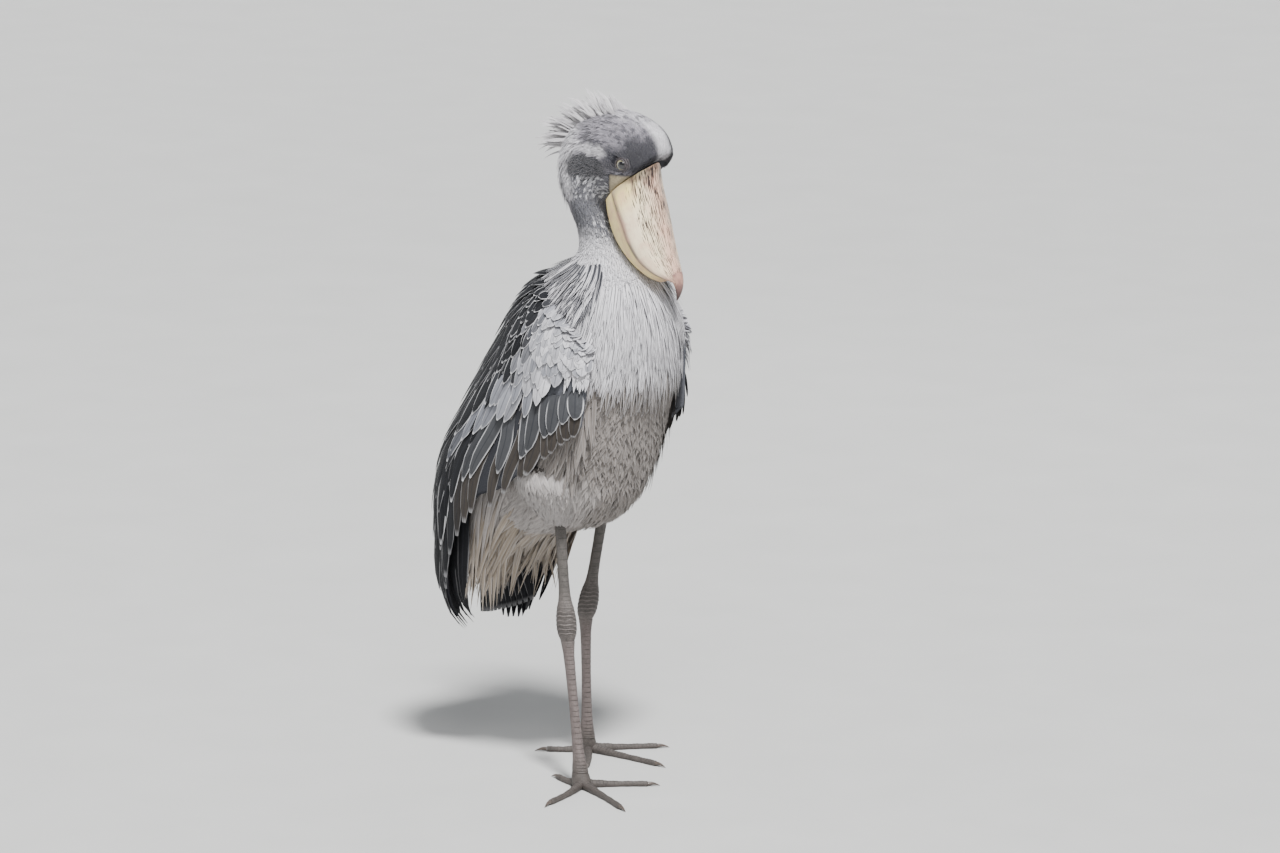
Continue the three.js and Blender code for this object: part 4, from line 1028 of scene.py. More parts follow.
def wing_tone(ink, p, q, rng):
    """Colour of wing feathers: silver in front of a slanting, ragged border and blackish behind it."""
    border = 0.64 - 0.16 * rise(0.42, 0.62, p) + 0.13 * rise(0.66, 0.84, p) + rng.uniform(-0.05, 0.05, len(q))
    front = rise(-0.05, 0.05, q - border)[:, None]
    dark = mix(INK["black"], INK["slate"], 0.25 * rng.random((len(q), 1)) ** 2)
    base = dark if ink == "black" else mix(dark, INK[ink], front)
    pale = rise(0.46, 0.8, q - 0.12 * p)[:, None] * (ink == "silver") * front
    pale = pale * rng.uniform(0.1, 0.95, (len(q), 1))
    return mix(base, INK["breast"], pale) * rng.uniform(0.84, 1.16, (len(q), 1))


def shoulder_dip(p):
    """How far the wing sinks, in millimetres, where it passes under the shoulder feathers at p below 1/7."""
    return 10 * np.maximum(0, 1 - 7 * p)


def make_wing_core(name, side, surface):
    """The thin dark plate under the feathers of a wing, thickest at the shoulder: the wing's own colours
    darkened, as painted shade under the feathers.
    """
    p, q = np.linspace(0, 0.94, 70)[:, None], np.linspace(0, 1, 46)[None, :]
    edge = np.minimum(1, 6 * np.minimum(q, 1 - q) + 0.25)
    lift = 1.2 * edge - shoulder_dip(p)
    t, _ = wing_place(p, q)
    deep = mix(15.0, 3.0, np.clip((t - 4) / 5, 0, 1)) * edge + 1.0
    points, faces = plate(surface.raised(p, q, lift - 2.0), surface.raised(p, q, lift - deep - 2.0))
    if side < 0:
        faces = [f[:, ::-1] for f in faces]
    # Painted shade: the plate takes the wing's dark and silver at six tenths, as if in shade under the
    # feathers.
    tone = mix(INK["dark"] * 0.6, INK["silver"] * 0.6, rise(0.6, 0.9, q + 0.0 * p)[..., None]).reshape(-1, 3)
    tint = np.concatenate([np.tile(tone, (2, 1)), np.ones((len(points), 1))], 1)
    core = build("wing_core_" + name, points, faces, FINISH["down"], tint=tint)
    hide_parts("wing_" + name)


def make_wing(name, side):
    """One folded wing: a thin core, darkened as painted shade, under tiers of feathers that overlap like
    tiles.
    """
    surface = wing_surface(side)
    make_wing_core(name, side, surface)
    coat = Plumage()
    for number, tier in enumerate(TIERS.values()):
        rng = np.random.default_rng(40 + number)
        row, place = np.meshgrid(np.arange(tier.rows), np.arange(tier.count), indexing="ij")
        g = ((place + 0.5 * (row % 2)) / tier.count + 0.15 / tier.count).ravel()
        down = row.ravel() / (tier.rows - 1) if tier.rows > 1 else g
        stray = 0.008 if tier.outline in (BLADE, POINT) else 0.02
        at = mix(*tier.q, g) + rng.uniform(-0.008, 0.008, g.size)
        tip = mix(*tier.tip, down) + rng.uniform(-stray, stray, g.size)
        tip = np.clip(tip - tier.slant * rise(0.72, 1.0, at), 0.02, 1.7)
        low = np.full(g.size, float(tier.lie[0])) - shoulder_dip(np.maximum(tip - tier.run, 0))
        high = tier.lie[1] * rng.uniform(0.8, 1.2, g.size)
        tone = wing_tone(tier.ink, tip, at, rng)
        fringe = np.clip(tier.fringe * rng.uniform(0.6, 1.1, (g.size, 1)), 0, 1)
        end = np.minimum(at + rng.uniform(-0.004, 0.026, g.size), 1.03)
        half = tier.half * rng.uniform(0.85, 1.15, g.size)
        coat.lay(surface, (np.maximum(tip - tier.run, 0.0), at), (tip, end), half, (low, high), tier.outline,
                 lambda point, root: np.concatenate([tone, fringe], 1), rows=8, span=((0, 1), (0, 1)),
                 bend=0.7, across=5, thick=0.5, cup=0.16, tilt=side * 0.16)
    coat.finish("wing_feathers_" + name, FINISH["wing_vane"], "wing_feathers")


TAIL = {"x": -212, "top": 392, "tip": 236, "half_top": 26, "half_tip": 62, "count": 12, "half": 12.0,
        "bow": 10}


def make_tail():
    """Tail: stiff blackish blades side by side that spread a little and bow across."""
    f = np.linspace(0, 1, 10)
    y = np.linspace(-0.9, 0.9, TAIL["count"])[:, None]
    order = np.abs(np.linspace(-1, 1, TAIL["count"]))[:, None]
    half = mix(TAIL["half_top"], TAIL["half_tip"], f ** 0.8)
    z = mix(TAIL["top"], TAIL["tip"] + TAIL["bow"] * y * y, f)
    x = TAIL["x"] + TAIL["bow"] * y * y + 5 * order * f + 0 * f
    centre = np.stack([x, half * y, z], -1)
    back = np.broadcast_to(np.array([-1.0, 0, 0]), centre.shape)
    coat = Plumage()
    root = np.stack([(y[:, 0] + 1) / 2, np.full(TAIL["count"], 0.5)], -1)
    tint = feather_colour_and_highlight(61, 0.15, 0.2, "black")(centre[:, 5], None)
    coat.add(centre, back, np.full(TAIL["count"], TAIL["half"]), BLADE, tint, root, across=7, thick=1.0,
             cup=0.1, tilt=0.1 * np.sign(y[:, 0]))
    coat.finish("tail_feathers", FINISH["wing_vane"], "quills", "tail")


UPPER_SIDE = ((0, 0), (0.02, 0.12), (0.1, 0.26), (0.25, 0.56), (0.5, 0.86), (0.78, 1.0), (1, 1.0))
LOWER_SIDE = ((0, 1), (0.35, 1.0), (0.7, 0.97), (1, 0.9), (1.06, 0.6), (1.04, 0.3))
NOSTRIL = {"a": 43, "side": 9.5, "long": 9, "wide": 1.6, "deep": 2.2}


def profile(corners, count):
    """Even places along a line of corners, and each place's share of the whole."""
    corners = np.array(corners, float)
    run = np.concatenate([[0], np.cumsum(np.linalg.norm(np.diff(corners, axis=0), axis=1))])
    s = np.linspace(0, run[-1], count)
    straight = [np.interp(s, run, corners[:, c]) for c in (0, 1)]
    kernel = np.array([1, 2, 3, 2, 1]) / 9
    soft = [np.convolve(np.pad(v, 2, mode="edge"), kernel, "valid") for v in straight]
    for line, sharp in zip(soft, straight):
        line[0], line[-1] = sharp[0], sharp[-1]
    return soft[0], soft[1], s / run[-1]


def half_shell(t, side, count, lower):
    """Grid of points of one side of the upper or lower bill, from its first edge to its last."""
    down, out, share = profile(side, count)
    ka, ku, ea, eu, el, ba, bu, bl = (v[..., None] for v in np.moveaxis(smooth(BILL, t), -1, 0))
    if lower:
        wide = mix(el - 1.5, bl, np.minimum(down, 1)) * out
        return mix(ea, ba, down), mix(eu - GAP - 0.1, bu, down), wide, share
    return mix(ka, ea, down), mix(ku, eu, down), el * out, share


def bill_tint(t, down, lower):
    """Colours of the horn: cream, pinker along the ridge and tip, pale yellow at the gape and on the lower
    jaw, grey-brown along the cutting edge, and a dark line along the side near the base that is painted shade
    of the groove there. Alpha says how thick the dark dashes lie."""
    t, down = np.broadcast_arrays(t, down)
    cream, pink = rgb(248, 230, 196), rgb(220, 178, 158)
    yellow, edge = rgb(244, 222, 146), rgb(92, 78, 70)
    share = (rise(0.5, 0.05, down) * 0.75 + rise(4.2, 6.0, t) * 0.6)[..., None]
    colour = mix(cream, pink, np.clip(share, 0, 1))
    gape = rise(2.2, 0.4, t) * rise(0.35, 0.7, down)
    colour = mix(colour, yellow, (np.ones_like(gape) * 0.85 if lower else gape)[..., None])
    line = rise(0.12, 0.03, down) * rise(0.6, 1.6, t) if lower else rise(0.9, 0.975, down)
    colour = mix(colour, edge, (line * 0.85)[..., None])
    colour = mix(colour, rgb(140, 102, 92), (rise(5.0, 6.0, t) * 0.75)[..., None])
    if not lower:
        corner = rise(0.8, 0.05, t) * rise(0.4, 0.65, down) * 0.8
        colour = mix(colour, rgb(172, 156, 124), corner[..., None])
        # Painted shade: a dark line along the side near the base, where the groove lies.
        groove_shade = np.exp(-((down - 0.58) / 0.03) ** 2) * rise(1.5, 0.5, t) * 0.85
        colour = mix(colour, rgb(84, 70, 64), groove_shade[..., None])
    dashes = rise(0.84, 0.5, down) * rise(-0.3, 0.3, t) * mix(1.0, 0.82, rise(1.5, 4.5, t))
    dashes = dashes * (0.15 if lower else 1.0) + rise(4.6, 5.8, t) * 0.25
    return np.concatenate([colour, np.clip(dashes, 0, 1)[..., None]], -1)


def wear(points):
    """Small uneven swelling of the horn, in millimetres."""
    x, y, z = np.moveaxis(points, -1, 0)
    return 0.28 * ripple(x * 0.6, y * 0.6, z * 0.3) + 0.12 * ripple(x * 2.1, y * 2.1, z * 0.7)


BILL_RINGS = 150
PROFILE_POINTS = 44
PALATE_POINTS = 7


def horn_map(along, across):
    """Places on the horn's map, along the bill and round its section."""
    return np.stack(np.broadcast_arrays(along, across), -1)


def upper_horn():
    """Rings, map and tint of the upper bill: ridge, left side with its slit nostril, palate, right side. The
    nostrils and palate are darkened as painted shade.
    """
    t = np.linspace(0, len(BILL) - 1, BILL_RINGS)
    a, u, l, share = half_shell(t, UPPER_SIDE, PROFILE_POINTS, False)
    slit = np.exp(-((a - NOSTRIL["a"]) / NOSTRIL["long"]) ** 4
                  - ((l - NOSTRIL["side"]) / NOSTRIL["wide"]) ** 2)
    right, left = in_head(a, u, -l), in_head(a, u, l)
    shift = (wear(left) - NOSTRIL["deep"] * slit)[..., None]
    normal = unit(np.stack([0 * l, mix(1.0, 0.1, share) + 0 * l, mix(0.2, 1.0, share) + 0 * l], -1))
    left = left + shift * (normal[..., 1:2] * TOP + normal[..., 2:3] * LEFT)
    right = right + shift * (normal[..., 1:2] * TOP - normal[..., 2:3] * LEFT)
    f = np.linspace(0, 1, PALATE_POINTS + 2)[None, 1:-1, None]
    palate = left[:, -1:] * (1 - f) + right[:, -1:] * f + TOP * (5 * np.sin(np.pi * f))
    tint = bill_tint(t[:, None], share[None], False)
    # Painted shade: the colour darkens inside the slit nostrils.
    tint[..., :3] *= (1 - 0.9 * np.clip(slit * 1.4, 0, 1))[..., None]
    # Painted shade: the palate is the cutting edge's colour at about half, browner, for the shade inside the
    # mouth.
    under = np.broadcast_to(tint[:, -1:] * [0.5, 0.45, 0.4, 0], (BILL_RINGS, PALATE_POINTS, 4))
    across = np.concatenate([share, np.ones(PALATE_POINTS), 2 - share[:0:-1]])
    return (np.concatenate([left, palate, right[:, :0:-1]], 1), horn_map(t[:, None] / 6, across[None] * 0.5),
            np.concatenate([tint, under, tint[:, :0:-1]], 1))


def nail_horn():
    """Rings, map and tint of the hooked nail, which shrinks and falls towards its tip."""
    f = np.linspace(0, 1, 40)[:, None]
    angle = np.linspace(0, 2 * np.pi, 36, endpoint=False)[None]
    deep, wide = mix(8.5, 1.0, f ** 1.6), mix(13, 0.9, f ** 1.2)
    fall = mix(-6, -7, f) - (abs(HOOK_TIP[1]) - 7) * f ** 3
    rings = in_head(mix(196, HOOK_TIP[0], f) + deep * np.cos(angle) * 0.6 * f,
                    fall + deep * np.cos(angle) * (1 + 0.08 * (np.cos(angle) > 0)), wide * np.sin(angle))
    colour = mix(rgb(132, 98, 92), rgb(60, 46, 46), rise(0.35, 1, f)[..., None] + 0 * angle[..., None])
    tint = np.concatenate([colour, np.full((*colour.shape[:2], 1), 0.25)], -1)
    return rings, horn_map(0.9 + 0.1 * f, angle / 7), tint


def lower_horn():
    """Rings, map and tint of the lower bill, a trough inside the edges of the upper one."""
    t = np.linspace(0, 5.85, BILL_RINGS)
    a, u, l, share = half_shell(t, LOWER_SIDE, PROFILE_POINTS, True)
    left, right = in_head(a, u, l), in_head(a, u, -l)
    left, right = left + LEFT * wear(left)[..., None], right - LEFT * wear(left)[..., None]
    tint = bill_tint(t[:, None], share[None], True)
    across = np.concatenate([share, 2 - share[::-1]])
    return (np.concatenate([left, right[:, ::-1]], 1), horn_map(t[:, None] / 6, across[None] * 0.5),
            np.concatenate([tint, tint[:, ::-1]], 1))


def make_bill():
    """Upper bill with its ridge, slit nostrils and hooked nail, and the trough of the lower bill under
    it. Each is a closed tube of rings whose profile is mirrored left to right."""
    for name, parts in (("upper", (upper_horn(), nail_horn())), ("lower", (lower_horn(),))):
        points, faces = gather([tube(rings) for rings, _, _ in parts])
        horn = build("horn_" + name, points, faces, FINISH["horn"],
                     {"Horn": np.concatenate([with_ends(places) for _, places, _ in parts])},
                     np.concatenate([with_ends(tint) for _, _, tint in parts]))
        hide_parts("bill_" + name)


GAZE = np.radians(74)
# Folds of the lids: radius, thickness, how far out from the middle of the eye, waviness
LIDS = ((9.6, 1.5, 8.6, 0.25), (12.4, 1.7, 7.2, 0.5), (15.2, 1.7, 5.4, 0.4))
LID_GRID = (120, 16)


def make_eyes():
    """Each eye is a ball, drawn by the angle from its line of sight, between two wrinkled lid folds."""
    for name, side in SIDES.items():
        gaze = unit(LEFT * side * np.sin(GAZE) + FORWARD * np.cos(GAZE))
        level = unit(np.cross(UP, gaze))
        upright = np.cross(gaze, level)
        v = np.radians(np.linspace(0.6, 179.4, 110))[:, None]
        h = np.linspace(0, 2 * np.pi, 72, endpoint=False)[None]
        bulge = EYE_RADIUS * (1 + 0.05 * np.exp(-(v / 0.6) ** 2))
        ring = eye_middle(side) + bulge[..., None] * (
            np.cos(v)[..., None] * gaze + (np.sin(v) * np.cos(h))[..., None] * level
            + (np.sin(v) * np.sin(h))[..., None] * upright)
        points, faces = tube(ring)
        sight = np.stack(np.broadcast_arrays(v / np.pi, h / (2 * np.pi)), -1).reshape(-1, 2)
        sight = np.concatenate([sight, [[0.001, 0.5], [0.999, 0.5]]])
        ball = build("eyeball_" + name, points, faces, FINISH["eye"], {"Sight": sight})
        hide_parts("eye_" + name)
        folds = []
        around, across = LID_GRID
        for radius, thick, out, wave in LIDS:
            turn = np.linspace(0, 2 * np.pi, around, endpoint=False)[:, None]
            section = np.linspace(0, 2 * np.pi, across, endpoint=False)[None]
            crease = thick * (1 + 0.12 * np.sin(turn * 23) * wave + 0.1 * np.sin(turn * 9 + radius))
            reach = radius + crease * np.cos(section)
            lift = out + crease * np.sin(section)
            points = (eye_middle(side) + (reach * np.cos(turn))[..., None] * FORWARD
                      + (0.94 * reach * np.sin(turn))[..., None] * UP + (lift * side)[..., None] * LEFT)
            folds.append((points.reshape(-1, 3), [grid_faces(around + 1, across) % (around * across)]))
        points, faces = gather(folds)
        build("lids_" + name, points, outward_faces(points, faces), FINISH["lid"])


def plates(f, angle, count, height, front):
    """Raised plates: each rises along its length and ends in a step, most on the side called front.
    Returns the swelling and the share of dark seam."""
    facing = np.maximum(np.cos(angle - front), 0) ** 0.6
    step = (f * count) % 1
    return 1 + height * facing * (step ** 0.7 - rise(0.9, 1.0, step)), facing * rise(0.84, 0.97, step)


LEG_AROUND = 40


def leg_piece(name, stations, rows, count, height, *nodes):
    """A lofted length of leg with plates down its front, wrinkled round the ankle, with painted shade in the
    wrinkles' creases.
    """
    table = np.array(stations, float)
    t = np.linspace(0, len(table) - 1, rows)
    x, y, z, rx, ry = (v[:, None] for v in np.moveaxis(smooth(table, t), -1, 0))
    angle = np.linspace(0, 2 * np.pi, LEG_AROUND, endpoint=False)[None]
    f = (t / (len(table) - 1))[:, None]
    swell, seam = plates(f, angle, count, height, 0)
    knobs = 1 + 0.02 * ripple(angle * 9 + 0 * z, z * 0.7 + 0 * angle, angle * 5 + z * 0.4)
    at_ankle = rise(236, 250, z) * rise(300, 278, z)
    fold = np.maximum(np.sin(z * 0.9 + 1.6 * np.sin(angle * 2) + 0.8 * np.sin(angle * 5)), 0) ** 2 * at_ankle
    knobs = knobs + 0.03 * fold
    # Painted shade: the creases between the ankle's wrinkles darken, through the same share as the plates'
    # dark seams.
    seam = np.maximum(seam, 0.55 * rise(0.5, 0.1, fold) * at_ankle)
    ring = np.stack([x + rx * swell * knobs * np.cos(angle), y + ry * swell * knobs * np.sin(angle),
                     z + 0 * angle], -1)
    points, faces = tube(ring)
    tint = np.concatenate([leg_tone(z + 0 * angle), seam[..., None]], -1).reshape(-1, 4)
    tint = np.concatenate([tint, tint[:1], tint[-1:]])
    thing = build(name, points, faces, FINISH["leg"], tint=tint)
    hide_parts(*nodes)


def leg_tone(z):
    """Grey-brown above, a paler wrinkled ankle, warm grey below it, darker on the foot."""
    z = z[..., None]
    colour = mix(rgb(106, 101, 97), rgb(130, 122, 118), rise(330, 275, z))
    colour = mix(colour, rgb(130, 118, 115), rise(245, 215, z))
    return mix(colour, rgb(97, 90, 86), rise(60, 20, z))


SHANK_END = 1.16
CLAW = 20


def leg_line(leg):
    """Top of the bare shank, ankle, end of the shank a little past it, end of the tarsus and foot."""
    knee, ankle, foot = (np.array(leg[k], float) for k in ("knee", "ankle", "foot"))
    top = knee - [0, 0, GAP]
    end = mix(top, ankle, SHANK_END)
    low = mix(end, foot, 1 - TARSUS_END / end[2])
    low[2] = TARSUS_END
    return top, ankle, end, low, foot


def make_legs():
    """Bare lower thighs with their thick ankles, and long tarsi with plates down the front. The radii
    are given by their share of the way down."""
    for name, leg in LEGS.items():
        top, ankle, end, low, _ = leg_line(leg)
        radii = ((0, 9), (0.45, 8.3), (0.72, 9.5), (0.86, 14), (1, 16), (1.1, 14.5), (SHANK_END, 11))
        leg_piece("bare_shank_" + name, [[*mix(top, ankle, f), r * 1.06, r * 0.94] for f, r in radii],
                  300, 30, 0.035, "shank_" + name)
        end[2] -= GAP
        radii = ((0, 11), (0.12, 8.6), (0.35, 7.5), (0.6, 7.5), (0.85, 9.1), (1, 12.5))
        leg_piece("scaled_tarsus_" + name, [[*mix(end, low, f), r * 1.08, r * 0.95] for f, r in radii],
                  520, 31, 0.075, "tarsus_" + name)


def toe_ring(leg, heading, along, bend, radius, height, angle, swell):
    """Rings of a toe or claw flat on the floor: circles square to its heading, cut off at the floor."""
    way = np.array([np.cos(np.radians(heading)), np.sin(np.radians(heading)), 0])
    side = np.array([-way[1], way[0], 0])
    across = (bend + radius * np.cos(angle))[..., None]
    up = np.maximum(height + radius * swell * np.sin(angle), 0)[..., None]
    return np.array([*leg["foot"][:2], 0]) + along[..., None] * way + across * side + up * UP


def make_feet():
    """Feet: a hub under the shank and four long toes each, with plates above and pads below."""
    angle = np.linspace(0, 2 * np.pi, 28, endpoint=False)[None]
    for name, leg in LEGS.items():
        *_, low, foot = leg_line(leg)
        low, foot = low[:2], foot[:2]
        table = np.array([[*low, TARSUS_END - GAP, 13.4, 12], [*mix(low, foot, 0.5), 17, 15.5, 14],
                          [*foot, 8, 16.5, 15], [*foot, 2, 14.5, 13], [*foot, 0, 12, 11]], float)
        t = np.linspace(0, len(table) - 1, 50)
        x, y, z, rx, ry = (v[:, None] for v in np.moveaxis(smooth(table, t), -1, 0))
        hub = np.stack([x + rx * np.cos(angle), y + ry * np.sin(angle), np.maximum(z, 0) + 0 * angle], -1)
        parts, seams = [tube(hub)], [np.zeros(hub.shape[:2])]
        for _, heading, length in leg["toes"]:
            f = np.linspace(0, 1, 200)[:, None]
            swell, seam = plates(f, angle, round(length / 7), 0.14, np.pi / 2)
            pad = 1 + 0.1 * np.sin(f * np.pi * 5) ** 2
            radius = mix(8, 4.4, np.minimum(f * 1.6, 1) ** 0.6) * pad
            height = mix(9, 3.8, np.minimum(f * 2, 1) ** 0.5)
            bend = 3 * np.sin(np.pi * f)
            along = f * (length - CLAW)
            parts.append(tube(toe_ring(leg, heading, along, bend, radius, height, angle, swell)))
            seams.append(seam + 0 * angle)
        points, faces = gather(parts)
        seam = np.concatenate([np.append(each, [0, 0]) for each in seams])
        tint = np.concatenate([leg_tone(points[:, 2]), seam[:, None]], 1)
        thing = build("scaled_foot_" + name, points, faces, FINISH["leg"], tint=tint)
        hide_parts("foot_" + name)
        for toe, heading, length in leg["toes"]:
            f = np.linspace(0, 1, 30)[:, None]
            height = 4.2 + 1.2 * np.sin(np.pi * f) - 3.4 * f ** 1.5
            radius = mix(3.3, 0.35, f ** 1.4)
            along = length - CLAW + GAP + CLAW * f
            points, faces = tube(toe_ring(leg, heading, along, 0, radius, height, angle, 1.0))
            claw = build(f"horn_claw_{toe}_{name}", points, faces, FINISH["claw"])
            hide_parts(f"claw_{toe}_{name}")


CAMERA = {"turn": 45, "above": 12, "distance": 11.38, "lens": 200, "aside": 0.0736, "up": 0.5568}


FLOOR = {"flat": 16, "bend": 8, "around": 96}
LAMPS = {"key": ((1.6, -1.5, 3.0), 1.1), "side": ((-2.6, -2.2, 1.8), 2.2), "back": ((-1.5, 2.8, 2.4), 2.2)}
LIT = (0, 0, 0.62)
SUNBEAM = (-0.6, 0.36, -1.15)


def put(name, data):
    """A new object in the scene."""
    thing = bpy.data.objects.new(name, data)
    bpy.context.scene.collection.objects.link(thing)
    return thing


def aim(thing, way):
    """Turns a light or camera to look that way."""
    thing.rotation_euler = Vector(way).to_track_quat("-Z", "Y").to_euler()


def make_floor():
    """Pale floor: a level disc whose rim bends up in a quarter circle."""
    arc = np.linspace(0.05, np.pi / 2, 24)
    level = np.linspace(0.0001, FLOOR["flat"], 30)
    reach = np.concatenate([level, FLOOR["flat"] + FLOOR["bend"] * np.sin(arc)])[:, None]
    lift = np.concatenate([0 * level, FLOOR["bend"] - FLOOR["bend"] * np.cos(arc)])[:, None]
    turn = np.linspace(0, 2 * np.pi, FLOOR["around"], endpoint=False)
    floor = np.stack(np.broadcast_arrays(reach * np.cos(turn), reach * np.sin(turn), lift), -1)
    mesh = bpy.data.meshes.new("floor")
    faces = [*grid_faces(len(reach), FLOOR["around"]).tolist(), list(range(FLOOR["around"]))]
    mesh.from_pydata(floor.reshape(-1, 3).tolist(), [], faces)
    mesh.shade_smooth()
    ground = put("floor", mesh)
    f = Finish("floor", Roughness=0.85)
    cloud = f.noise(f.spot(), 6.0, 4.0)
    mesh.materials.append(f.end(f.blend(cloud, (0.50, 0.50, 0.49, 1), (0.56, 0.56, 0.55, 1))))


def make_stage(look):
    """Pale floor, soft lights and the camera of the photograph's framing."""
    make_floor()
    world = bpy.data.worlds.new("studio")
    world.use_nodes = True
    world.node_tree.nodes["Background"].inputs[0].default_value = (0.86, 0.9, 0.95, 1)
    world.node_tree.nodes["Background"].inputs[1].default_value = look.fill
    bpy.context.scene.world = world
    sun = bpy.data.lights.new("sun", "SUN")
    sun.energy, sun.angle = look.sun, np.radians(9)
    aim(put("sun", sun), SUNBEAM)
    for name, (place, size) in LAMPS.items():
        light = bpy.data.lights.new(name, "AREA")
        light.energy, light.size = look.key if name == "key" else look.side, size
        lamp = put(name, light)
        lamp.location = place
        aim(lamp, np.array(LIT) - np.array(place))
    turn, above = np.radians(CAMERA["turn"]), np.radians(CAMERA["above"])
    back = np.array([np.sin(turn) * np.cos(above), -np.cos(turn) * np.cos(above), np.sin(above)])
    right = np.array([np.cos(turn), np.sin(turn), 0])
    target = SHIFT * MM + CAMERA["aside"] * right + CAMERA["up"] * np.cross(back, right)
    camera = bpy.data.cameras.new("camera")
    camera.lens, camera.sensor_width = CAMERA["lens"], 36
    eye = put("camera", camera)
    eye.location = target + back * CAMERA["distance"]
    aim(eye, -back)
    bpy.context.scene.camera = eye


FINISH = {}


def make_finishes():
    """All materials of the bird."""
    FINISH["down"] = skin_finish()
    FINISH["soft_vane"] = vane_finish("soft_vane", ink("wisp"), 0.6, ink("brow", 0.8), 0.35, 0.85, 0.08)
    FINISH["plume"] = vane_finish("plume", (*rgb(232, 230, 234), 1), 0.8, ink("slate", 0.55), 0.85, 0.8, 0.08,
                                  fringe_from=0.5, barbs=34.0, shaft_width=0.3)
    FINISH["wisp"] = vane_finish("wisp", (*rgb(240, 238, 238), 1), 0.5, ink("crown"), 0.2, 0.8, 0.1,
                                 fringe_from=0.5)
    FINISH["wing_vane"] = vane_finish("wing_vane", (*rgb(236, 235, 238), 1), 0.95, ink("dark", 0.7), 0.5, 0.6,
                                      0.02, fringe_from=0.78, barbs=46.0)
    FINISH["horn"] = horn_finish()
    FINISH["leg"] = leg_finish()
    FINISH["claw"] = claw_finish()
    FINISH["eye"] = eye_finish()
    FINISH["lid"] = lid_finish()


class ShoebillSizes(bpy.types.PropertyGroup):
    """How fine the coat is."""
    skin_cell: FloatProperty(name="Skin cell", description="Cell of the skin's mesh", default=0.004,
                             min=0.002, unit="LENGTH")
    head_feathers: IntProperty(name="Head feathers", description="Small feathers of face and crown",
                               default=6500)
    crest_wisps: IntProperty(name="Crest wisps", description="Long wisps of the crest", default=300)
    neck_feathers: IntProperty(name="Neck feathers", description="Feathers of neck and shoulders",
                               default=3800)
    trunk_feathers: IntProperty(name="Trunk feathers", description="Feathers of breast, belly and back",
                                default=5600)
    breast_plumes: IntProperty(name="Breast plumes", description="Long plumes of the breast", default=1100)
    thigh_feathers: IntProperty(name="Thigh feathers", description="Feathers of each thigh", default=2300)
    undertail_plumes: IntProperty(name="Undertail plumes", description="Loose plumes before the tail",
                                  default=1300)


class ShoebillLook(bpy.types.PropertyGroup):
    """How the bird is lit."""
    key: FloatProperty(name="Key light", description="Strength of the light from the upper front", default=40,
                       unit="POWER")
    sun: FloatProperty(name="Sun", description="Strength of the soft sun", default=6.5)
    side: FloatProperty(name="Side light", description="Strength of the soft side lights", default=14,
                        unit="POWER")
    fill: FloatProperty(name="Fill", description="Strength of the light from all round", default=0.38)


def sizes():
    """The coat's settings."""
    return bpy.context.scene.shoebill_sizes


class Piece:
    """What all the operators share."""
    bl_options = {"REGISTER", "UNDO"}

    def execute(self, context):
        """Makes the piece; anything that goes wrong stops the script."""
        self.make(context)
        return {"FINISHED"}


class SHOEBILL_OT_skin(Piece, bpy.types.Operator):
    """Make the one skin of head, neck, trunk, thighs and vent"""
    bl_idname, bl_label = "shoebill.skin", "Skin"

    def make(self, context):
        make_finishes()
        make_skin(sizes())


class SHOEBILL_OT_head(Piece, bpy.types.Operator):
    """Make the small feathers of the face, crown and nape, and the crest"""
    bl_idname, bl_label = "shoebill.head", "Head feathers"

    def make(self, context):
        make_head(sizes())
        make_crest(sizes())


class SHOEBILL_OT_body(Piece, bpy.types.Operator):
    """Make the feathers of neck, trunk, breast, thighs and vent"""
    bl_idname, bl_label = "shoebill.body", "Body feathers"

    def make(self, context):
        make_neck(sizes())
        make_trunk(sizes())
        make_plumes(sizes())
        make_thighs(sizes())
        make_undertail(sizes())


class SHOEBILL_OT_wings(Piece, bpy.types.Operator):
    """Make the folded wings, tier by tier"""
    bl_idname, bl_label = "shoebill.wings", "Wings"

    def make(self, context):
        for name, side in SIDES.items():
            make_wing(name, side)


class SHOEBILL_OT_tail(Piece, bpy.types.Operator):
    """Make the tail blades"""
    bl_idname, bl_label = "shoebill.tail", "Tail"

    def make(self, context):
        make_tail()


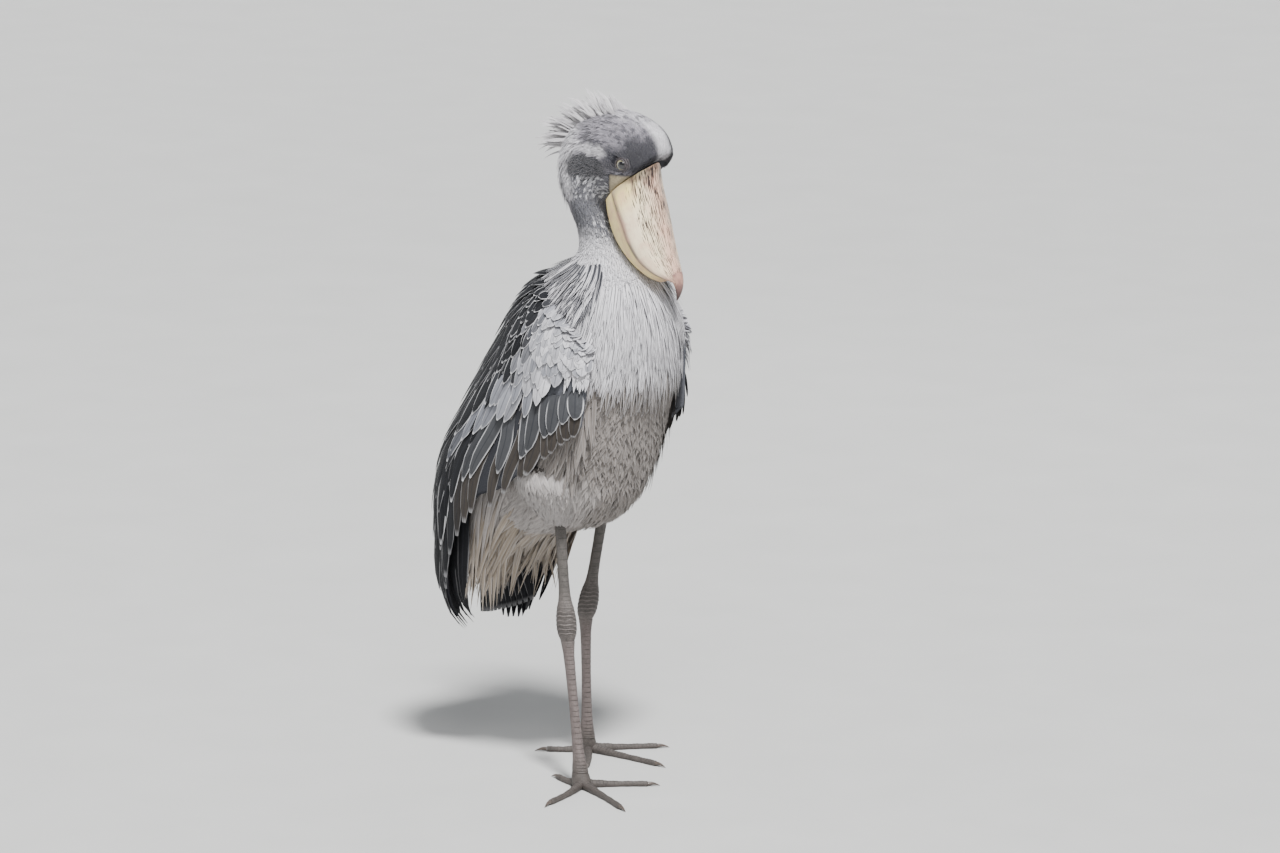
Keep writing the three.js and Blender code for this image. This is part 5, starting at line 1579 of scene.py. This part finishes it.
class SHOEBILL_OT_bill(Piece, bpy.types.Operator):
    """Make the upper and lower bill"""
    bl_idname, bl_label = "shoebill.bill", "Bill"

    def make(self, context):
        make_bill()


class SHOEBILL_OT_eyes(Piece, bpy.types.Operator):
    """Make the eyes and their lids"""
    bl_idname, bl_label = "shoebill.eyes", "Eyes"

    def make(self, context):
        make_eyes()


class SHOEBILL_OT_legs(Piece, bpy.types.Operator):
    """Make the bare legs, feet and claws"""
    bl_idname, bl_label = "shoebill.legs", "Legs"

    def make(self, context):
        make_legs()
        make_feet()


class SHOEBILL_OT_stage(Piece, bpy.types.Operator):
    """Make the floor, lights and camera"""
    bl_idname, bl_label = "shoebill.stage", "Stage"

    def make(self, context):
        make_stage(context.scene.shoebill_look)


STEPS = (SHOEBILL_OT_stage, SHOEBILL_OT_skin, SHOEBILL_OT_head, SHOEBILL_OT_body, SHOEBILL_OT_wings,
         SHOEBILL_OT_tail, SHOEBILL_OT_bill, SHOEBILL_OT_eyes, SHOEBILL_OT_legs)


class SHOEBILL_PT_panel(bpy.types.Panel):
    """The bird's steps and settings in the sidebar"""
    bl_idname, bl_label = "SHOEBILL_PT_panel", "Shoebill"
    bl_space_type, bl_region_type, bl_category = "VIEW_3D", "UI", "Shoebill"

    def draw(self, context):
        for group in (context.scene.shoebill_sizes, context.scene.shoebill_look):
            for key in group.__annotations__:
                self.layout.prop(group, key)
        for step in STEPS:
            self.layout.operator(step.bl_idname)


CLASSES = (ShoebillSizes, ShoebillLook, *STEPS, SHOEBILL_PT_panel)


def register():
    for each in CLASSES:
        bpy.utils.register_class(each)
    bpy.types.Scene.shoebill_sizes = bpy.props.PointerProperty(type=ShoebillSizes)
    bpy.types.Scene.shoebill_look = bpy.props.PointerProperty(type=ShoebillLook)


def unregister():
    del bpy.types.Scene.shoebill_look
    del bpy.types.Scene.shoebill_sizes
    for each in reversed(CLASSES):
        bpy.utils.unregister_class(each)


def main():
    """Makes the whole bird."""
    register()
    for step in STEPS:
        group, name = step.bl_idname.split(".")
        getattr(getattr(bpy.ops, group), name)()


if __name__ == "__main__":
    main()
